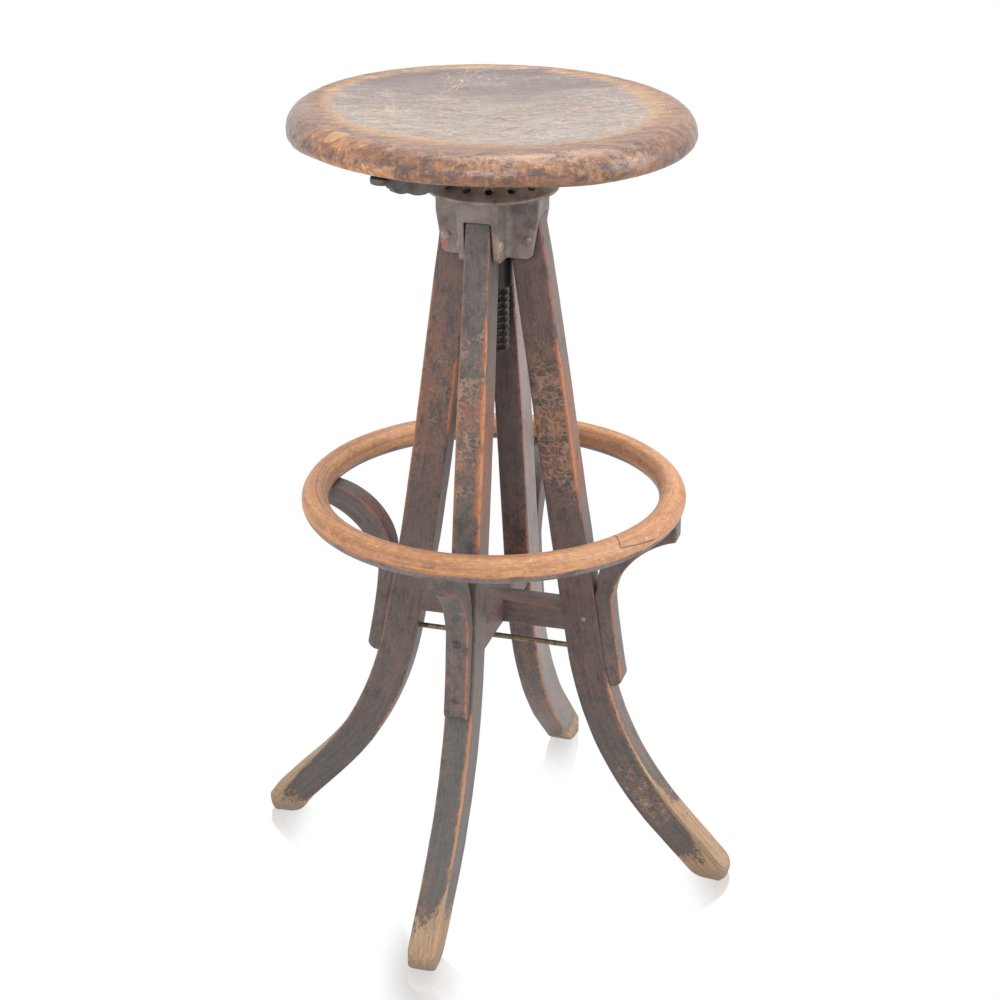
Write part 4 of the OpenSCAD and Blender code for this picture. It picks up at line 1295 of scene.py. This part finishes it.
def casting(node, body, mat, slot, voxel, rounds, drawn_in=False):
    """Rounds a CAD solid's edges as a sand casting's are, and replaces it. A piece that is drawn in keeps
    only LEVER_DRAW of what lies past LEVER_REACH from the axis."""
    ob = add_object(node + "_cast", NODES[node].data.copy())
    remesh = ob.modifiers.new("remesh", "REMESH")
    remesh.mode = "VOXEL"
    remesh.voxel_size = voxel * MM
    remesh.use_smooth_shade = True
    soften = ob.modifiers.new("smooth", "SMOOTH")
    soften.factor = 0.5
    soften.iterations = rounds
    bpy.context.view_layer.update()
    made = bpy.data.meshes.new_from_object(ob.evaluated_get(bpy.context.evaluated_depsgraph_get()))
    ob.modifiers.clear()
    ob.data = made
    made.shade_smooth()
    if drawn_in:
        at = NODES[node].matrix_world.copy()
        back = at.inverted()
        for v in made.vertices:
            w = at @ v.co
            r = math.hypot(w.x, w.y) / MM
            if r > LEVER_REACH:
                k = (LEVER_REACH + (r - LEVER_REACH) * LEVER_DRAW) / r
                w.x, w.y = w.x * k, w.y * k
                v.co = back @ w
    put(ob, body, mat, slot, node)


def lathed(rows, m):
    """Rings of points: each row is (height, radius or a radius for each of the m points)."""
    turn = turns(m)
    return np.vstack([np.column_stack([r * np.cos(turn), r * np.sin(turn), np.full(m, z)]) for z, r in rows])


def screw_boss(mat):
    """The plain boss below the hub that the screw runs down through."""
    m, low, high, r_out, r_in = 64, 566.0, 612.0, 17.4, 14.7
    rows = [(low + 1, r_in), (low, r_in + 0.6), (low, r_out - 1.2), (low + 1.2, r_out)]
    rows += [(high, r_out), (high, r_in)]
    ob = new_mesh("hub_boss", lathed(rows, m), tube_faces(len(rows), m, close_rows=True))
    ob.data.set_sharp_from_angle(angle=math.radians(40))
    put(ob, "base", mat, "cast_iron")


def iron_work():
    red, straw = (168, 96, 76), (150, 128, 108)
    patches = [((-40, -20, 604), 4.6, red), ((-30, -20, 600), 5.0, straw), ((16, -36, 608), 10.0, straw)]
    iron = old_iron("hub_iron", (130, 118, 113), (100, 91, 88), (138, 104, 84), 0.14, patches)
    plate = old_iron("plate_iron", (138, 124, 112), (100, 88, 78), (128, 100, 78), 0.2)
    lever = old_iron("lever_iron", (98, 92, 88), (68, 62, 60), (104, 86, 76), 0.15)
    arms = old_iron("spider_iron", (86, 78, 74), (58, 52, 50), (96, 72, 60), 0.2)
    casting("hub_casting", "base", iron, "cast_iron", 0.8, 4)
    # the boss is the hub's own iron, painted far darker than the hub as painted shade under it
    screw_boss(old_iron("boss_iron_painted_shade", (48, 42, 41), (34, 30, 30), (60, 46, 40), 0.2))
    casting("index_plate", "screw", plate, "plate_iron", 0.8, 3)
    casting("latch_lever", "latch", lever, "cast_iron", 0.6, 6, drawn_in=True)
    casting("seat_spider", "seat", arms, "cast_iron", 1.0, 3)


# ---------------------------------------------------------------- lifting screw and fasteners

THREAD_TOP, PITCH, CREST_R, ROOT_R = 648.0, 6.35, 14.25, 12.0


def spindle(mat):
    """The lifting screw with its real thread, a right-hand helix at the frame's pitch."""
    lo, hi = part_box("spindle")
    start, tip = lo.z / MM, hi.z / MM
    m = 72
    turn = np.arange(m) / m
    rows = [(start, 10.5)]
    for z in np.arange(start + 0.7, THREAD_TOP, 0.62):
        crest = np.abs(((z - start) / PITCH - turn) % 1.0 - 0.5) * 2
        faded = float(smooth(start, start + 3, z) * smooth(THREAD_TOP, THREAD_TOP - 3, z))
        rows.append((z, ROOT_R + (CREST_R - ROOT_R) * smooth(0.72, 0.34, crest) * faded))
    rows += [(THREAD_TOP + 0.4, ROOT_R), (THREAD_TOP + 0.8, 14.0), (675.6, 14.0), (675.8, 11.0)]
    rows += [(689.0, 11.0), (689.2, 8.0), (tip - 1, 8.0), (tip, 7.0)]
    verts = np.vstack([lathed(rows, m), [[0, 0, start], [0, 0, tip]]])
    put(new_mesh("spindle_screw", verts, capped_faces(len(rows), m)), "screw", mat, "spindle_iron", "spindle")


HEAD_ROLLS = (0.12, -0.30)
HEAD_R, SLOT, HEAD_DEEP = 4.1, 0.62, -2.5


def screw_head():
    """One domed, slotted head: its points (across the slot, along it, height) and its faces."""
    n_t = 13
    s_all = np.array([-0.995, -0.9, -0.75, -0.55, -0.35]) * HEAD_R
    s_all = np.concatenate([s_all, [-SLOT - 0.07, -SLOT, SLOT, SLOT + 0.07], -s_all[::-1]])
    pts = []
    for s in s_all:
        for t in np.linspace(-1, 1, n_t):
            q = t * math.sqrt(HEAD_R ** 2 - s ** 2)
            dome = 0.22 + 0.60 * (1 - (s * s + q * q) / HEAD_R ** 2)
            pts.append((s, q, 0.10 if abs(s) <= SLOT + 0.01 else dome))
    n_s, half = len(s_all), len(pts)
    pts += [(s, q, HEAD_DEEP) for s, q, h in pts]
    faces = []
    for i in range(n_s - 1):
        for j in range(n_t - 1):
            p, q = i * n_t + j, (i + 1) * n_t + j
            faces += [(p, q, q + 1, p + 1), (p + half, p + half + 1, q + half + 1, q + half)]
    ring = [i * n_t for i in range(n_s)] + [(n_s - 1) * n_t + j for j in range(1, n_t)]
    ring += [i * n_t + n_t - 1 for i in range(n_s - 2, -1, -1)] + list(range(n_t - 2, 0, -1))
    faces += [(p, q, q + half, p + half) for p, q in zip(ring, ring[1:] + ring[:1])]
    return np.array(pts), faces


def slotted_heads():
    """The heads of the wood screws that hold the brackets to the legs, painted over."""
    head, head_faces = screw_head()
    verts, faces = [], []
    for which, a in SIDES.items():
        d, across = axes(a)
        across_pair = which in ("right", "left")
        for z, roll in zip((207.0, 269.0) if across_pair else (215.5, 268.0), HEAD_ROLLS):
            tilt = math.asin((SHANK_C[1] - z) / SHANK_R)
            out = place(d * math.cos(tilt), 1, math.sin(tilt))
            roll += 0.9 * across_pair
            e1 = across * math.cos(roll) + np.cross(out, across) * math.sin(roll)
            faces += moved_on(head_faces, len(verts))
            pts = place(d, shank_at(z), z) + head @ np.array([e1, np.cross(out, e1), out])
            verts += list(sprung(which, pts))
    ob = new_mesh("bracket_screw_heads", verts, faces)
    ob.data.set_sharp_from_angle(angle=math.radians(35))
    put(ob, "base", plain_metal("screw_paint", (92, 80, 74), 0.5, 0.2), "fastener_steel", "bracket_screws")


PEG_OUT, PEG_Z, PEG_R = 88.0, 257.0, 2.3
PEG_ROWS = ((-12.95, PEG_R - 0.3), (-12.7, PEG_R), (12.7, PEG_R), (12.95, PEG_R - 0.3))


def pegs():
    """Filled ends of the pegs through the leg tenons, painted with the legs. One end has lost its paint."""
    m = 20
    verts, faces, bare = [], [], []
    for which, a in SIDES.items():
        d, across = axes(a)
        pts = []
        for u, r in PEG_ROWS:
            for b in turns(m):
                pts.append(place(d, PEG_OUT + r * math.cos(b), PEG_Z + r * math.sin(b)) + across * u)
        pts += [place(d, PEG_OUT, PEG_Z) + across * PEG_ROWS[k][0] for k in (0, -1)]
        faces += moved_on(capped_faces(len(PEG_ROWS), m), len(verts))
        verts += list(sprung(which, pts))
        bare += [0.9 * (which == "right" and (q < 2 * m or q == 4 * m)) for q in range(len(pts))]
    zero = np.zeros(len(verts))
    attrs = {"gp": np.array(verts) * MM, "wear": zero + 0.12, "crack": zero, "bare": bare, "tone": zero}
    ob = new_mesh("tenon_peg_ends", verts, faces, attrs)
    put(ob, "base", painted_wood("peg_paint", (90, 78, 74), (88, 74, 70), 2.6), "peg_wood", "tenon_pegs")


def fasteners():
    steel = plain_metal("old_steel", (126, 116, 108), 0.45, 0.7)
    for node in ("seat_screws", "latch_pin", "plate_pin", "top_washer", "top_nut", "ring_screws", "lap_screw",
                 "rod_nuts", "rod_washers"):
        paint(NODES[node], steel)
    paint(NODES["leg_rivets"], plain_metal("rivet_iron", (172, 148, 136), 0.6, 0.1))
    paint(NODES["tie_rod"], plain_metal("rod_steel", (128, 114, 92), 0.42, 0.6))
    paint(NODES["stop_washer"], plain_metal("fibre", (92, 62, 44), 0.6, 0.0))
    # the screw is painted black from 574 mm up, as painted shade under the hub
    spindle(plain_metal("spindle_iron", (78, 68, 66), 0.4, 0.6, shade_above=574))
    slotted_heads()
    pegs()


camera()
lights()
add_floor()
legs()
brackets()
stretchers()
foot_ring()
seat()
iron_work()
fasteners()

bpy.context.view_layer.update()
